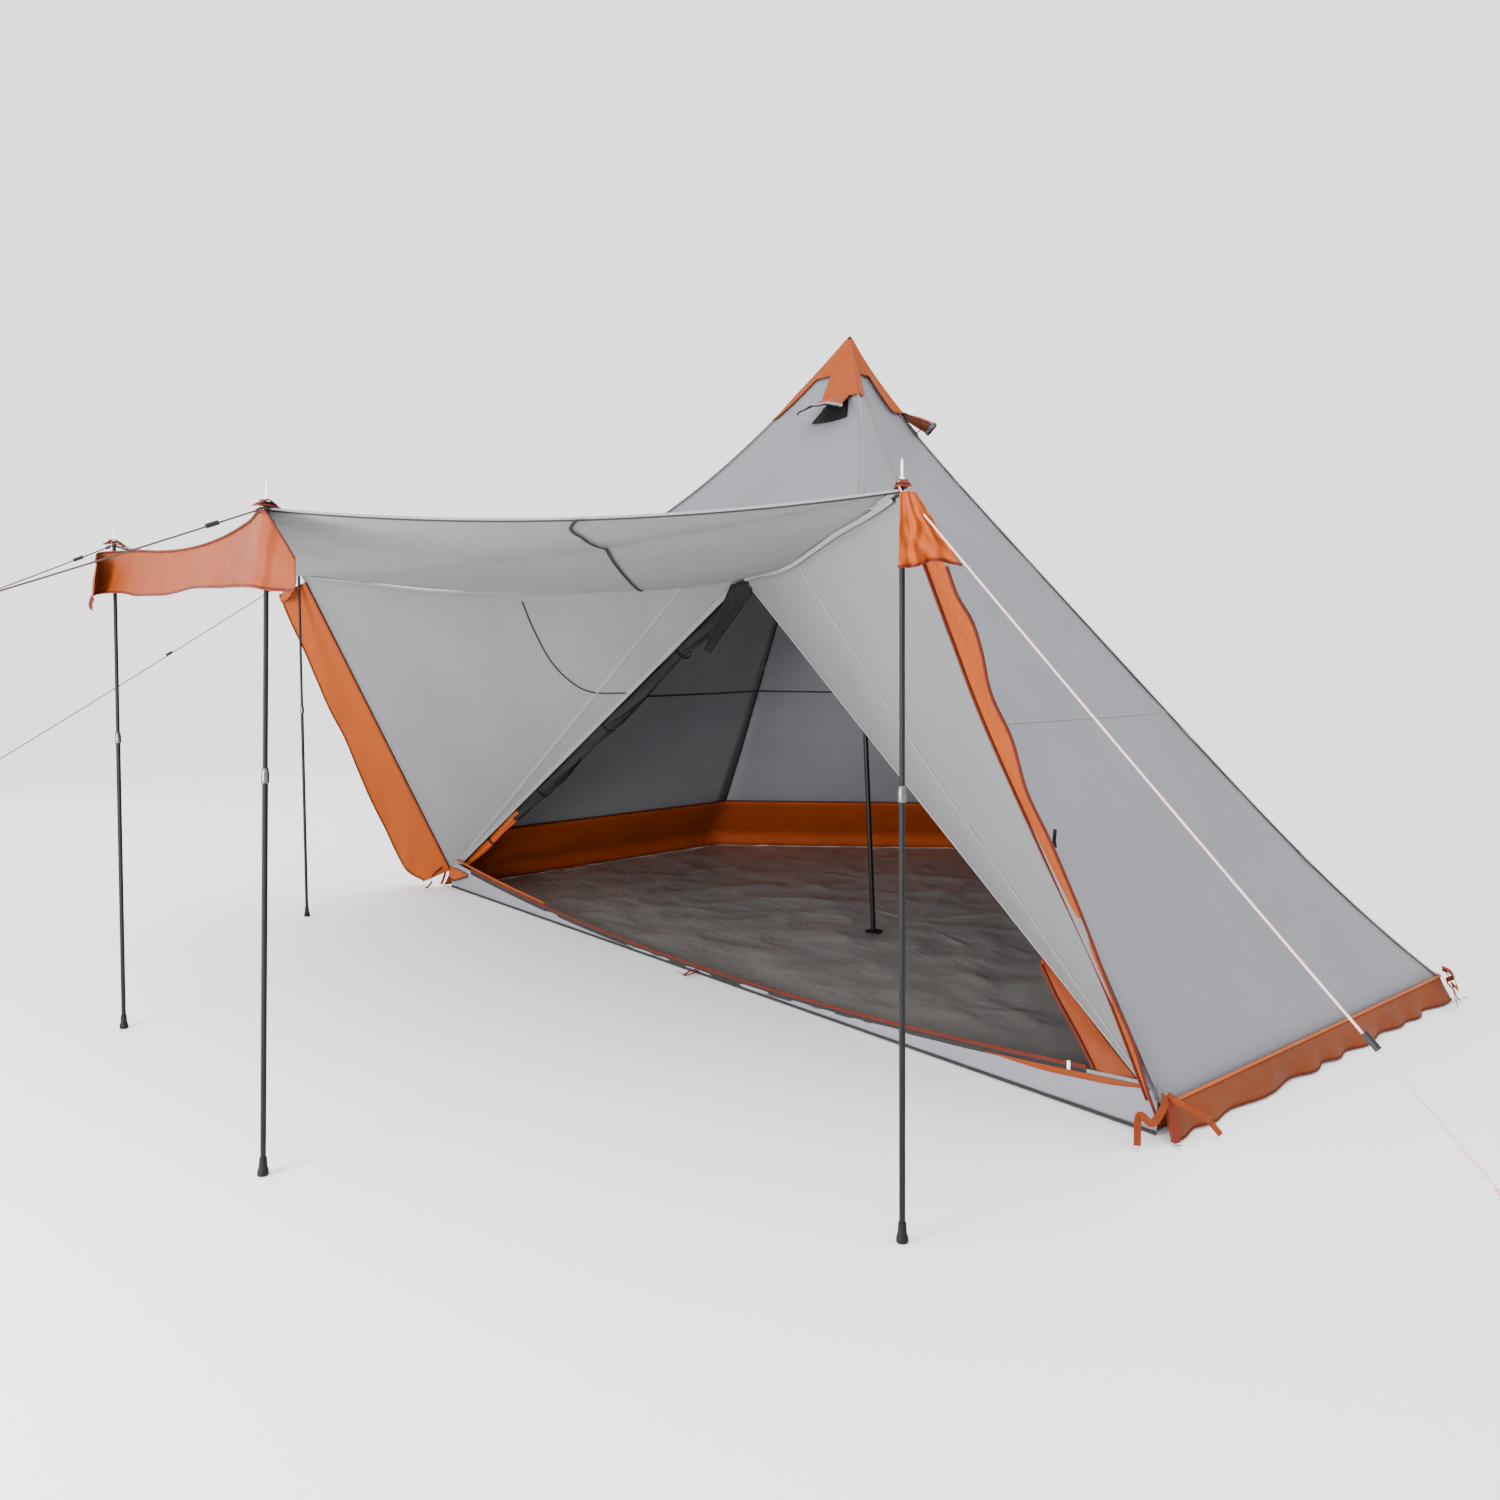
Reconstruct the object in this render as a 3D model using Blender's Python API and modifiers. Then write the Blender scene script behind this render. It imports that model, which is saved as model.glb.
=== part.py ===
"""Teepee tent with a propped front awning, modelled at full size.

Frame: metres, +Z up, origin on the ground under the middle of the groundsheet.
The awning and the doorway face -Y, and +X is to the right when facing the doorway.
"""

import math

import bmesh
import bpy
from mathutils import Matrix, Vector

# ---------------------------------------------------------------- driving dimensions
APEX = Vector((0.0, -0.11, 3.0))
POLE_BASE = Vector((0.10, 0.0))
HALF_WIDTH = 2.40
SIDE_FRONT_Y = -1.15
SIDE_BACK_Y = 0.98
BACK_HALF_WIDTH = 1.00
BACK_Y = 2.40
HEM_HEIGHT = 0.10
RIDGE_SAG = 0.115
RIDGE_SAG_POWER = 5

DOOR_TOP = Vector((0.0, -0.80, 1.805))
CANOPY_HEIGHT = 1.87
SHOULDER = Vector((1.15, -1.47, 1.83))
SHOULDER_BEND = Vector((0.834, -0.729))
SHOULDER_POWER = 1.926

FABRIC = 0.004
SEAM_GAP = 0.004
ROW_STEPS = (0.03, 0.06, 0.09, 0.12, 0.18, 0.26, 0.38, 0.50, 0.62, 0.74, 0.86, 0.94, 1.0)
FRONT_END = 0.985

AWNING_POLES = {
    "right_outer": {"foot": (2.255, -2.210), "top": (2.237, -2.226)},
    "right_front": {"foot": (0.820, -3.310), "top": (0.846, -3.235)},
    "left_front": {"foot": (-0.818, -3.307), "top": (-0.807, -3.255)},
    "left_outer": {"foot": (-2.195, -2.097), "top": (-2.188, -2.075)},
}
AWNING_POLE_RADIUS = 0.008
AWNING_UPPER_RADIUS = 0.0068
AWNING_JOINT_HEIGHT = 1.14
AWNING_POLE_TOP = 1.885
AWNING_POLE_BOTTOM = 0.002
SPIKE_RADIUS = 0.003
SPIKE_TOP = 1.945
SPIKE_POINT = 0.008

CENTRE_RADIUS = 0.0125
CENTRE_STEP = 0.001
CENTRE_SPLITS = (0.018, 1.02, 2.02, 2.93)
FOOT_RADIUS = 0.045
FOOT_THICKNESS = 0.010
FOOT_COLLAR_RADIUS = 0.016
FOOT_COLLAR_RISE = 0.003
FOOT_EDGE_DROP = 0.004
CLEARANCE = 0.0004

ROOF_CORNER_INSET = 0.035
ROOF_BACK_GAP = 0.05
WING_CORNER_INSET = 0.05
WING_TOP_OFFSET = Vector((0.02, -0.02, -0.012))
WING_BELOW_ROOF = 0.012
WING_MARGIN = 0.012
VALANCE_HALF_WIDTH = 0.90
VALANCE_TOP_Y = -3.287
VALANCE_HEM_Y = -3.320
VALANCE_BELOW_ROOF = 0.022
VALANCE_DIP = 0.02
VALANCE_DROP = 0.19
VALANCE_STEPS = 12
SKIRT_REACH = Vector((0.078, -0.138, -0.08))
SKIRT_OPENING = 5.0
SKIRT_NARROWING = 0.25
SKIRT_START_WIDTH = 0.05
SKIRT_BELOW_CORNER = 0.03
SKIRT_GAP = 0.016
SKIRT_LOWEST = 0.012
SKIRT_SPAN = (0.035, 0.99)
SKIRT_STEPS = 12
GROUND_SKIRT_SPLAY = 0.045
GROUND_CLEARANCE = 0.004
INNER_WALL_HEIGHT = 0.38
INNER_WALL_INSET = 0.03
INNER_WALL_BOTTOM = 0.012
GROUNDSHEET_INSET = 0.05

SILL_HALF_LENGTH = 2.10
SILL_LOW = 0.03
SILL_RISE = 0.11
SILL_BOTTOM = 0.008
SILL_STEPS = 16
SLIDER_SIZE = (0.012, 0.005, 0.034)
SLIDER_BEVEL = 0.001
SLIDER_FROM_END = 0.06
SLIDER_IN_FRONT = 0.008
SLIDER_ABOVE = 0.002

DOOR_ROLL_RADIUS = 0.030
DOOR_ROLL_SPAN = (0.05, 0.74)
DOOR_ROLL_OFFSET = Vector((0.035, 0.065, 0.0))
DOOR_ROLL_STEPS = 16
DOOR_ROLL_SWELL = 0.25
DOOR_ROLL_WAVES = 6

CAP_STEPS = (0.012, *ROW_STEPS[:4])
CAP_OFFSET = 0.018

VENTS = {
    "right_front": {"azimuth": math.radians(-56), "height": 2.66},
    "right_back": {"azimuth": math.radians(34), "height": 2.61},
    "left_back": {"azimuth": math.radians(124), "height": 2.61},
    "left_side": {"azimuth": math.radians(-174), "height": 2.61},
}
VENT_SLOPE_STEP = 0.1
HOOD_LENGTH = 0.16
HOOD_TOP_WIDTH = 0.12
HOOD_BOTTOM_WIDTH = 0.26
HOOD_ANGLE = math.radians(30)
HOOD_LIFT = 0.010
HOOD_THICKNESS = 0.003
HOOD_ROWS = (0.004, 0.25, 0.5, 0.75, 1.0)
PROP_LENGTH = 0.0455
PROP_RADIUS = 0.003
PROP_DISTANCE = 0.11
PROP_LIFT = 0.006

GUY_RADIUS = 0.0025
GUY_START = 0.030
GUY_SPACING = 0.02
GUY_MOST_STEPS = 78
GUY_TOP_LIFT = 0.005
GUY_LINES = {
    "right_outer": {"run": 1.32, "away": (1.0, 0.0), "fall": 0.959, "runner": 1.10},
    "right_front": {"run": 0.74, "away": (-0.048, -0.9988), "fall": 0.386, "runner": 0.14},
    "left_front": {"run": 0.50, "away": (-0.139, -0.990), "fall": 0.460, "runner": 0.12},
    "left_outer": {"run": 1.55, "away": (-0.259, -0.966), "fall": 0.668, "runner": 0.64},
}
RUNNER_OUTER = 0.0065
RUNNER_BORE = 0.0034
RUNNER_LENGTH = 0.035
RING_RADIUS = 0.016
RING_WIRE = 0.0022
RING_SEGMENTS = 20
WIRE_SEGMENTS = 8

PEG_RADIUS = 0.003
PEG_LENGTH = 0.045
PEG_HOOK = 0.010
PEG_HOOK_TURN = math.radians(205)
PEG_HOOK_STEPS = 8
PEG_LEAN = math.radians(62)
PEG_REACH = 0.056
PEG_LIFT = 0.0036
DOOR_PEG = Vector((0.08, SIDE_FRONT_Y - 0.01))

MATERIALS = {
    "grey_fabric": ((0.32, 0.32, 0.35), 0.75, 0.0),
    "orange_fabric": ((0.75, 0.14, 0.02), 0.7, 0.0),
    "floor_fabric": ((0.19, 0.17, 0.16), 0.45, 0.0),
    "mesh_fabric": ((0.02, 0.02, 0.02), 0.9, 0.0),
    "black_steel": ((0.02, 0.02, 0.02), 0.35, 0.6),
    "bright_steel": ((0.7, 0.7, 0.7), 0.3, 1.0),
    "guy_cord": ((0.08, 0.03, 0.03), 0.8, 0.0),
    "black_plastic": ((0.03, 0.03, 0.03), 0.45, 0.0),
    "white_plastic": ((0.8, 0.8, 0.8), 0.4, 0.0),
}


# ---------------------------------------------------------------- scene and helpers
def clear_scene():
    for old in list(bpy.data.objects):
        bpy.data.objects.remove(old, do_unlink=True)


def make_material(name):
    colour, roughness, metallic = MATERIALS[name]
    material = bpy.data.materials.new(name)
    material.use_nodes = True
    shader = material.node_tree.nodes["Principled BSDF"]
    shader.inputs["Base Color"].default_value = (*colour, 1.0)
    shader.inputs["Roughness"].default_value = roughness
    shader.inputs["Metallic"].default_value = metallic
    return material


clear_scene()
tent = bpy.data.collections.new("teepee_tent")
bpy.context.scene.collection.children.link(tent)


def add_object(name, data, material_name):
    """A named object in the tent's collection, with a material of its own."""
    material = make_material(material_name)
    material.name = name + "_" + material_name
    data.materials.append(material)
    thing = bpy.data.objects.new(name, data)
    tent.objects.link(thing)
    return thing


def sheet(name, rows, material_name, thickness=FABRIC, offset=1.0, closed=False):
    """A loft through rows of points, thickened to the side its normals face."""
    points = [tuple(point) for row in rows for point in row]
    width = len(rows[0])
    columns = width if closed else width - 1
    faces = []
    for r in range(len(rows) - 1):
        for c in range(columns):
            near, far = r * width + c, r * width + (c + 1) % width
            faces.append((near, far, far + width, near + width))
    data = bpy.data.meshes.new(name)
    data.from_pydata(points, [], faces)
    body = add_object(name, data, material_name)
    solidify = body.modifiers.new("Solidify", "SOLIDIFY")
    solidify.thickness = thickness
    solidify.offset = offset
    return body


def flat_sheet(name, outline, material_name, thickness=FABRIC, offset=1.0):
    """A sheet with one face through the outline's points."""
    data = bpy.data.meshes.new(name)
    data.from_pydata([tuple(point) for point in outline], [], [range(len(outline))])
    body = add_object(name, data, material_name)
    solidify = body.modifiers.new("Solidify", "SOLIDIFY")
    solidify.thickness = thickness
    solidify.offset = offset
    return body


def tube(name, points, radius, material_name, resolution=3, radii=None):
    """A capped tube of POLY spline through the points; its origin is the first one."""
    points = [Vector(point) for point in points]
    curve = bpy.data.curves.new(name, "CURVE")
    curve.dimensions = "3D"
    curve.bevel_depth = radius
    curve.bevel_resolution = resolution
    curve.use_fill_caps = True
    spline = curve.splines.new("POLY")
    spline.points.add(len(points) - 1)
    for index, point in enumerate(points):
        spline.points[index].co = (*(point - points[0]), 1.0)
        spline.points[index].radius = radii[index] if radii else 1.0
    body = add_object(name, curve, material_name)
    body.location = points[0]
    return body


def aligned(axis, start):
    """A transform that puts local +Z along axis, at start."""
    turn = Vector(axis).normalized().to_track_quat("Z", "Y")
    return Matrix.Translation(Vector(start)) @ turn.to_matrix().to_4x4()


def bmesh_object(name, shape, material_name):
    data = bpy.data.meshes.new(name)
    shape.to_mesh(data)
    shape.free()
    data.shade_smooth()
    data.set_sharp_from_angle(angle=math.radians(40))
    return add_object(name, data, material_name)


def turned(name, profile, material_name, steps=24):
    """A Screw of a (radius, height) profile about local Z, closed unless it ends on the axis."""
    data = bpy.data.meshes.new(name)
    points = [(radius, 0.0, height) for radius, height in profile]
    edges = [(i, i + 1) for i in range(len(points) - 1)]
    if profile[0][0] > 0:
        edges.append((len(points) - 1, 0))
    data.from_pydata(points, edges, [])
    body = add_object(name, data, material_name)
    screw = body.modifiers.new("Screw", "SCREW")
    screw.steps = screw.render_steps = steps
    screw.use_merge_vertices = True
    screw.merge_threshold = 0.00001
    return body


# ---------------------------------------------------------------- outline of the tent
def corner(x, y):
    return Vector((x, y, HEM_HEIGHT))


CORNERS = {
    "right_front": corner(HALF_WIDTH - 0.03, SIDE_FRONT_Y),
    "right_side": corner(HALF_WIDTH + 0.03, SIDE_BACK_Y),
    "right_back": corner(BACK_HALF_WIDTH, BACK_Y),
    "left_back": corner(-BACK_HALF_WIDTH, BACK_Y),
    "left_side": corner(-HALF_WIDTH - 0.03, SIDE_BACK_Y),
    "left_front": corner(-HALF_WIDTH + 0.03, SIDE_FRONT_Y),
}


def ridge(name, t):
    """A point on the sagging ridge from the apex, t = 0, to a base corner, t = 1."""
    foot = CORNERS[name]
    point = APEX.lerp(foot, t)
    inward = Vector((APEX.x - foot.x, APEX.y - foot.y, 0.0)).normalized()
    return point + inward * RIDGE_SAG * (1 - abs(2 * t - 1) ** RIDGE_SAG_POWER)


def ridge_at_height(name, z):
    return ridge(name, (APEX.z - z) / (APEX.z - HEM_HEIGHT))


def shoulder(side, t):
    """The ridge that the awning pulls out of the front, from the apex to its crease."""
    start, end = APEX.xy, SHOULDER.xy
    flat = start * (1 - t) ** 2 + SHOULDER_BEND * 2 * t * (1 - t) + end * t**2
    z = SHOULDER.z + (APEX.z - SHOULDER.z) * (1 - t) ** SHOULDER_POWER
    return Vector((side * flat.x, flat.y, z))


def front_line(t):
    """The middle of the front, level with the shoulders at the top and drawn back to the door."""
    ridge_point = shoulder(1, t)
    level = Vector((0.0, ridge_point.y, ridge_point.z))
    drawn_back = DOOR_TOP - Vector((0.0, SHOULDER.y, SHOULDER.z))
    return level + drawn_back * t**3


def canopy_corner(name, inset=ROOF_CORNER_INSET):
    """The fabric's corner beside an awning pole, moved in towards the door's top."""
    top = Vector((*AWNING_POLES[name]["top"], CANOPY_HEIGHT))
    return top + (DOOR_TOP - top).normalized() * inset


def apart(first, second, gap=SEAM_GAP):
    """Two points moved towards each other, which leaves a seam's gap beside each."""
    step = (second - first).normalized() * gap
    return first + step, second - step


def steps_from(start, end, count):
    return [start + (end - start) * i / count for i in range(count + 1)]


# ---------------------------------------------------------------- fly sheet
def wall_panel(name, first, second):
    rows = []
    for t in ROW_STEPS:
        rows.append(apart(ridge(first, t), ridge(second, t)))
    return sheet(name, rows, "grey_fabric")


def make_walls():
    wall_panel("right_side_panel", "right_side", "right_front")
    wall_panel("right_back_panel", "right_back", "right_side")
    wall_panel("back_panel", "left_back", "right_back")
    wall_panel("left_back_panel", "left_side", "left_back")
    wall_panel("left_side_panel", "left_front", "left_side")


def make_front_panels():
    for label, side in (("right", 1), ("left", -1)):
        rows = []
        for t in (*ROW_STEPS[:-1], FRONT_END):
            pair = apart(ridge(label + "_front", t), shoulder(side, t))
            rows.append(pair if side > 0 else pair[::-1])
        sheet(label + "_front_panel", rows, "grey_fabric")


def make_front_hood():
    rows = []
    for t in (*ROW_STEPS[:-1], FRONT_END):
        right = apart(shoulder(1, t), front_line(t))[0]
        left = apart(shoulder(-1, t), front_line(t))[0]
        rows.append((right, front_line(t), left))
    sheet("front_hood", rows, "grey_fabric")


def shrunk(points, distance):
    """The outline with each corner moved towards the middle by the distance."""
    middle = sum(points, Vector()) / len(points)
    return [point + (middle - point).normalized() * distance for point in points]


def make_awning():
    names = ("right_outer", "right_front", "left_front", "left_outer")
    corners = [canopy_corner(name) for name in names]
    roof = [DOOR_TOP - Vector((0, ROOF_BACK_GAP, 0)), *corners]
    flat_sheet("awning_roof", roof[::-1], "grey_fabric", offset=-1.0)
    for label, side in (("right", 1), ("left", -1)):
        edge = canopy_corner(label + "_outer", WING_CORNER_INSET) - Vector((0, 0, WING_BELOW_ROOF))
        top = DOOR_TOP + Vector((side * WING_TOP_OFFSET.x, *WING_TOP_OFFSET.yz))
        foot = CORNERS[label + "_front"]
        outline = shrunk([top, edge, foot], WING_MARGIN)
        flat_sheet(label + "_wing", outline if side > 0 else outline[::-1], "grey_fabric")


def make_wing_skirts():
    for label, side in (("right", 1), ("left", -1)):
        top = canopy_corner(label + "_outer", WING_CORNER_INSET) - Vector((0, 0, SKIRT_BELOW_CORNER))
        foot = CORNERS[label + "_front"]
        reach = Vector((side * SKIRT_REACH.x, SKIRT_REACH.y, SKIRT_REACH.z))
        clear = reach.normalized() * SKIRT_GAP
        rows = []
        for t in steps_from(*SKIRT_SPAN, SKIRT_STEPS):
            hem = top.lerp(foot, t) + clear
            narrowing = 1 - SKIRT_NARROWING * t
            opening = SKIRT_START_WIDTH + SKIRT_OPENING * t
            low = hem + reach * min(narrowing, opening)
            low.z = max(low.z, SKIRT_LOWEST)
            rows.append((hem, low) if side > 0 else (low, hem))
        sheet(label + "_wing_skirt", rows, "orange_fabric")


def make_valance():
    rows = []
    for x in steps_from(-VALANCE_HALF_WIDTH, VALANCE_HALF_WIDTH, VALANCE_STEPS):
        dip = VALANCE_DIP * math.cos(math.pi * x / (2 * VALANCE_HALF_WIDTH))
        z = CANOPY_HEIGHT - VALANCE_BELOW_ROOF - dip
        top = Vector((x, VALANCE_TOP_Y, z))
        hem = Vector((x, VALANCE_HEM_Y, z - VALANCE_DROP))
        rows.append((top, hem))
    sheet("awning_valance", rows, "orange_fabric", offset=0.0)


# ---------------------------------------------------------------- bottom of the tent
def outward(name):
    foot = CORNERS[name]
    return Vector((foot.x, foot.y, 0.0)).normalized()


def make_ground_skirt():
    rows = []
    for name in CORNERS:
        top = CORNERS[name] - Vector((0, 0, SEAM_GAP))
        low = CORNERS[name] + outward(name) * GROUND_SKIRT_SPLAY
        low.z = GROUND_CLEARANCE
        rows.append((low, top))
    sheet("ground_skirt", rows, "orange_fabric", offset=0.0)


def make_inner_wall():
    rows = []
    for name in CORNERS:
        inset = outward(name) * INNER_WALL_INSET
        low = ridge(name, 1.0) - inset
        low.z = INNER_WALL_BOTTOM
        rows.append((low, ridge_at_height(name, INNER_WALL_HEIGHT) - inset))
    sheet("inner_wall", rows, "orange_fabric", offset=0.0)


def make_groundsheet():
    outline = []
    for name in CORNERS:
        point = CORNERS[name] - outward(name) * GROUNDSHEET_INSET
        outline.append(Vector((point.x, point.y, 0.0)))
    flat_sheet("groundsheet", outline, "floor_fabric", offset=1.0)


def sill_height(x):
    """Height of the door's bottom zip, which runs along the arc of a circle."""
    radius = (SILL_HALF_LENGTH**2 + SILL_RISE**2) / (2 * SILL_RISE)
    return SILL_LOW + radius - math.sqrt(radius**2 - x**2)


def make_sill():
    rows = []
    for x in steps_from(-SILL_HALF_LENGTH, SILL_HALF_LENGTH, SILL_STEPS):
        low = Vector((x, SIDE_FRONT_Y, SILL_BOTTOM))
        rows.append((low, Vector((x, SIDE_FRONT_Y, sill_height(x)))))
    sheet("door_sill", rows, "grey_fabric", offset=0.0)
    shape = bmesh.new()
    bmesh.ops.create_cube(shape, size=1.0)
    bmesh.ops.scale(shape, vec=SLIDER_SIZE, verts=shape.verts)
    bmesh.ops.bevel(shape, geom=shape.edges, offset=SLIDER_BEVEL, segments=2, affect="EDGES")
    slider = bmesh_object("zip_slider", shape, "white_plastic")
    x = SILL_HALF_LENGTH - SLIDER_FROM_END
    slider.location = (x, SIDE_FRONT_Y - SLIDER_IN_FRONT, sill_height(x) + SLIDER_ABOVE)


def make_door_roll():
    foot = CORNERS["left_front"]
    points = []
    radii = []
    for t in steps_from(*DOOR_ROLL_SPAN, DOOR_ROLL_STEPS):
        points.append(DOOR_TOP.lerp(foot, t) + DOOR_ROLL_OFFSET)
        radii.append(1 - DOOR_ROLL_SWELL * (1 - math.cos(DOOR_ROLL_WAVES * t)))
    tube("door_roll", points, DOOR_ROLL_RADIUS, "mesh_fabric", radii=radii)


def make_cap():
    rows = []
    for t in CAP_STEPS:
        ring = [shoulder(1, t), *(ridge(name, t) for name in CORNERS), shoulder(-1, t)]
        rows.append(ring[::-1])
    cap = sheet("top_cap", rows, "orange_fabric", closed=True)
    lift = cap.modifiers.new("Lift", "DISPLACE")
    lift.mid_level = 0.0
    lift.strength = CAP_OFFSET
    cap.modifiers.move(1, 0)


# ---------------------------------------------------------------- vents
def section(z):
    """The outer cloth's corners at one height, in order round the tent."""
    t = 1 - ((z - SHOULDER.z) / (APEX.z - SHOULDER.z)) ** (1 / SHOULDER_POWER)
    return [shoulder(1, t), *(ridge_at_height(name, z) for name in CORNERS), shoulder(-1, t)]


def on_cloth(azimuth, z):
    """The point of the outer cloth at that azimuth and height, and the panel's level direction."""
    ray = Vector((math.cos(azimuth), math.sin(azimuth)))
    corners = section(z)
    for start, end in zip(corners, corners[1:] + corners[:1]):
        edge = end.xy - start.xy
        from_apex = start.xy - APEX.xy
        turn = ray.cross(edge)
        distance = from_apex.cross(edge) / turn
        along = from_apex.cross(ray) / turn
        if distance > 0 and 0 <= along < 1:
            return Vector((*(APEX.xy + ray * distance), z)), (end - start).normalized()
    raise ValueError("no panel at that azimuth")


def make_vent(name, azimuth, height):
    """A propped vent hood: its hinge is the top edge, and its prop stands on the panel."""
    origin, sideways = on_cloth(azimuth, height)
    lower, _ = on_cloth(azimuth, height - VENT_SLOPE_STEP)
    out = sideways.cross(origin - lower).normalized()
    up = out.cross(sideways).normalized()
    hinge = origin + out * HOOD_LIFT
    along = -up * math.cos(HOOD_ANGLE) + out * math.sin(HOOD_ANGLE)
    rows = []
    for step in HOOD_ROWS:
        half = (HOOD_TOP_WIDTH + (HOOD_BOTTOM_WIDTH - HOOD_TOP_WIDTH) * step) / 2
        middle = along * HOOD_LENGTH * step
        rows.append((middle - sideways * half, middle + sideways * half))
    hood = sheet("vent_hood_" + name, rows, "grey_fabric", thickness=HOOD_THICKNESS, offset=0.0)
    hood.location = hinge
    stand = origin - up * PROP_DISTANCE + out * (HOOD_LIFT + PROP_LIFT)
    ends = [stand, stand + out * PROP_LENGTH]
    tube("vent_prop_" + name, ends, PROP_RADIUS, "black_plastic")


def make_vents():
    for name, place in VENTS.items():
        make_vent(name, place["azimuth"], place["height"])


# ---------------------------------------------------------------- poles
def make_awning_poles():
    thin = SPIKE_RADIUS / AWNING_UPPER_RADIUS
    radii = (1.0, 1.0, thin, thin, 0.4 * thin)
    for name, ends in AWNING_POLES.items():
        foot = Vector((*ends["foot"], 0.0))
        top = Vector((*ends["top"], AWNING_POLE_TOP))
        along = (top - foot) / AWNING_POLE_TOP
        lower = [foot + along * z for z in (AWNING_POLE_BOTTOM, AWNING_JOINT_HEIGHT)]
        tube("awning_pole_lower_" + name, lower, AWNING_POLE_RADIUS, "black_steel", resolution=4)
        heights = (
            AWNING_JOINT_HEIGHT + CLEARANCE,
            AWNING_POLE_TOP,
            AWNING_POLE_TOP + CLEARANCE,
            SPIKE_TOP - SPIKE_POINT,
            SPIKE_TOP,
        )
        upper = [foot + along * z for z in heights]
        label = "awning_pole_upper_" + name
        tube(label, upper, AWNING_UPPER_RADIUS, "black_steel", resolution=4, radii=radii)


def make_centre_pole():
    foot = Vector((*POLE_BASE, 0.0))
    labels = ("lower", "middle", "upper")
    for index, label in enumerate(labels):
        low = CENTRE_SPLITS[index] + CLEARANCE
        high = CENTRE_SPLITS[index + 1]
        ends = [foot.lerp(APEX, z / APEX.z) for z in (low, high)]
        radius = CENTRE_RADIUS - CENTRE_STEP * index
        tube("centre_pole_" + label, ends, radius, "black_steel", resolution=4)
    base = FABRIC + CLEARANCE
    top = base + FOOT_THICKNESS
    collar = top + FOOT_COLLAR_RISE
    profile = [
        (0.0, collar),
        (FOOT_COLLAR_RADIUS, collar),
        (FOOT_RADIUS, top - FOOT_EDGE_DROP),
        (FOOT_RADIUS, base),
        (0.0, base),
    ]
    disc = turned("centre_pole_foot", profile, "black_plastic")
    disc.location = foot


# ---------------------------------------------------------------- guy lines and pegs
def guy_direction(line):
    return Vector((*line["away"], -line["fall"])).normalized()


def guy_length(line):
    return line["run"] * math.sqrt(1 + line["fall"] ** 2)


def make_ring(name):
    """A wire ring that hangs in its own XZ plane."""
    shape = bmesh.new()
    sections = []
    for i in range(RING_SEGMENTS):
        turn = 2 * math.pi * i / RING_SEGMENTS
        section = []
        for j in range(WIRE_SEGMENTS):
            roll = 2 * math.pi * j / WIRE_SEGMENTS
            reach = RING_RADIUS + RING_WIRE * math.cos(roll)
            point = (reach * math.cos(turn), RING_WIRE * math.sin(roll), reach * math.sin(turn))
            section.append(shape.verts.new(point))
        sections.append(section)
    for i, section in enumerate(sections):
        following = sections[(i + 1) % RING_SEGMENTS]
        for j in range(WIRE_SEGMENTS):
            k = (j + 1) % WIRE_SEGMENTS
            shape.faces.new((section[j], following[j], following[k], section[k]))
    bmesh.ops.recalc_face_normals(shape, faces=shape.faces)
    return bmesh_object(name, shape, "bright_steel")


def make_guy_lines():
    half = RUNNER_LENGTH / 2
    profile = [
        (RUNNER_OUTER, half),
        (RUNNER_OUTER, -half),
        (RUNNER_BORE, -half),
        (RUNNER_BORE, half),
    ]
    for name, line in GUY_LINES.items():
        top = Vector((*AWNING_POLES[name]["top"], CANOPY_HEIGHT + GUY_TOP_LIFT))
        along = guy_direction(line)
        start = top + along * GUY_START
        length = guy_length(line) - GUY_START
        count = min(GUY_MOST_STEPS, int(length / GUY_SPACING))
        points = [start + along * length * i / count for i in range(count + 1)]
        tube("guy_line_" + name, points, GUY_RADIUS, "guy_cord", resolution=2)
        middle = top + along * line["runner"] * math.sqrt(1 + line["fall"] ** 2)
        runner = turned("guy_runner_" + name, profile, "black_plastic", steps=16)
        runner.matrix_world = aligned(along, middle)
        ring = make_ring("guy_ring_" + name)
        beyond = length + RING_RADIUS + RING_WIRE + CLEARANCE
        ring.matrix_world = aligned(along, start + along * beyond)


def make_pegs():
    """The hooked heads of the pegs, whose shanks are in the ground."""
    upright = Vector((0.0, 0.0, 1.0))
    places = {name: (CORNERS[name].xy, outward(name)) for name in CORNERS}
    places["door"] = (DOOR_PEG, Vector((0.0, -1.0, 0.0)))
    for name, (place, away) in places.items():
        base = Vector((*place, PEG_LIFT)) + away * PEG_REACH
        lean = away * math.sin(PEG_LEAN) + upright * math.cos(PEG_LEAN)
        side = away.cross(upright)
        top = base + lean * PEG_LENGTH
        points = [base, top]
        for i in range(1, PEG_HOOK_STEPS + 1):
            turn = PEG_HOOK_TURN * i / PEG_HOOK_STEPS
            hook = side * (1 - math.cos(turn)) + lean * math.sin(turn)
            points.append(top + hook * PEG_HOOK)
        tube("peg_" + name, points, PEG_RADIUS, "bright_steel", resolution=2)


make_walls()
make_front_panels()
make_front_hood()
make_awning()
make_wing_skirts()
make_valance()
make_ground_skirt()
make_inner_wall()
make_groundsheet()
make_sill()
make_door_roll()
make_cap()
make_vents()
make_awning_poles()
make_centre_pole()
make_guy_lines()
make_pegs()
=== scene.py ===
import math

import bmesh
import bpy
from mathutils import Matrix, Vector, noise


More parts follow.
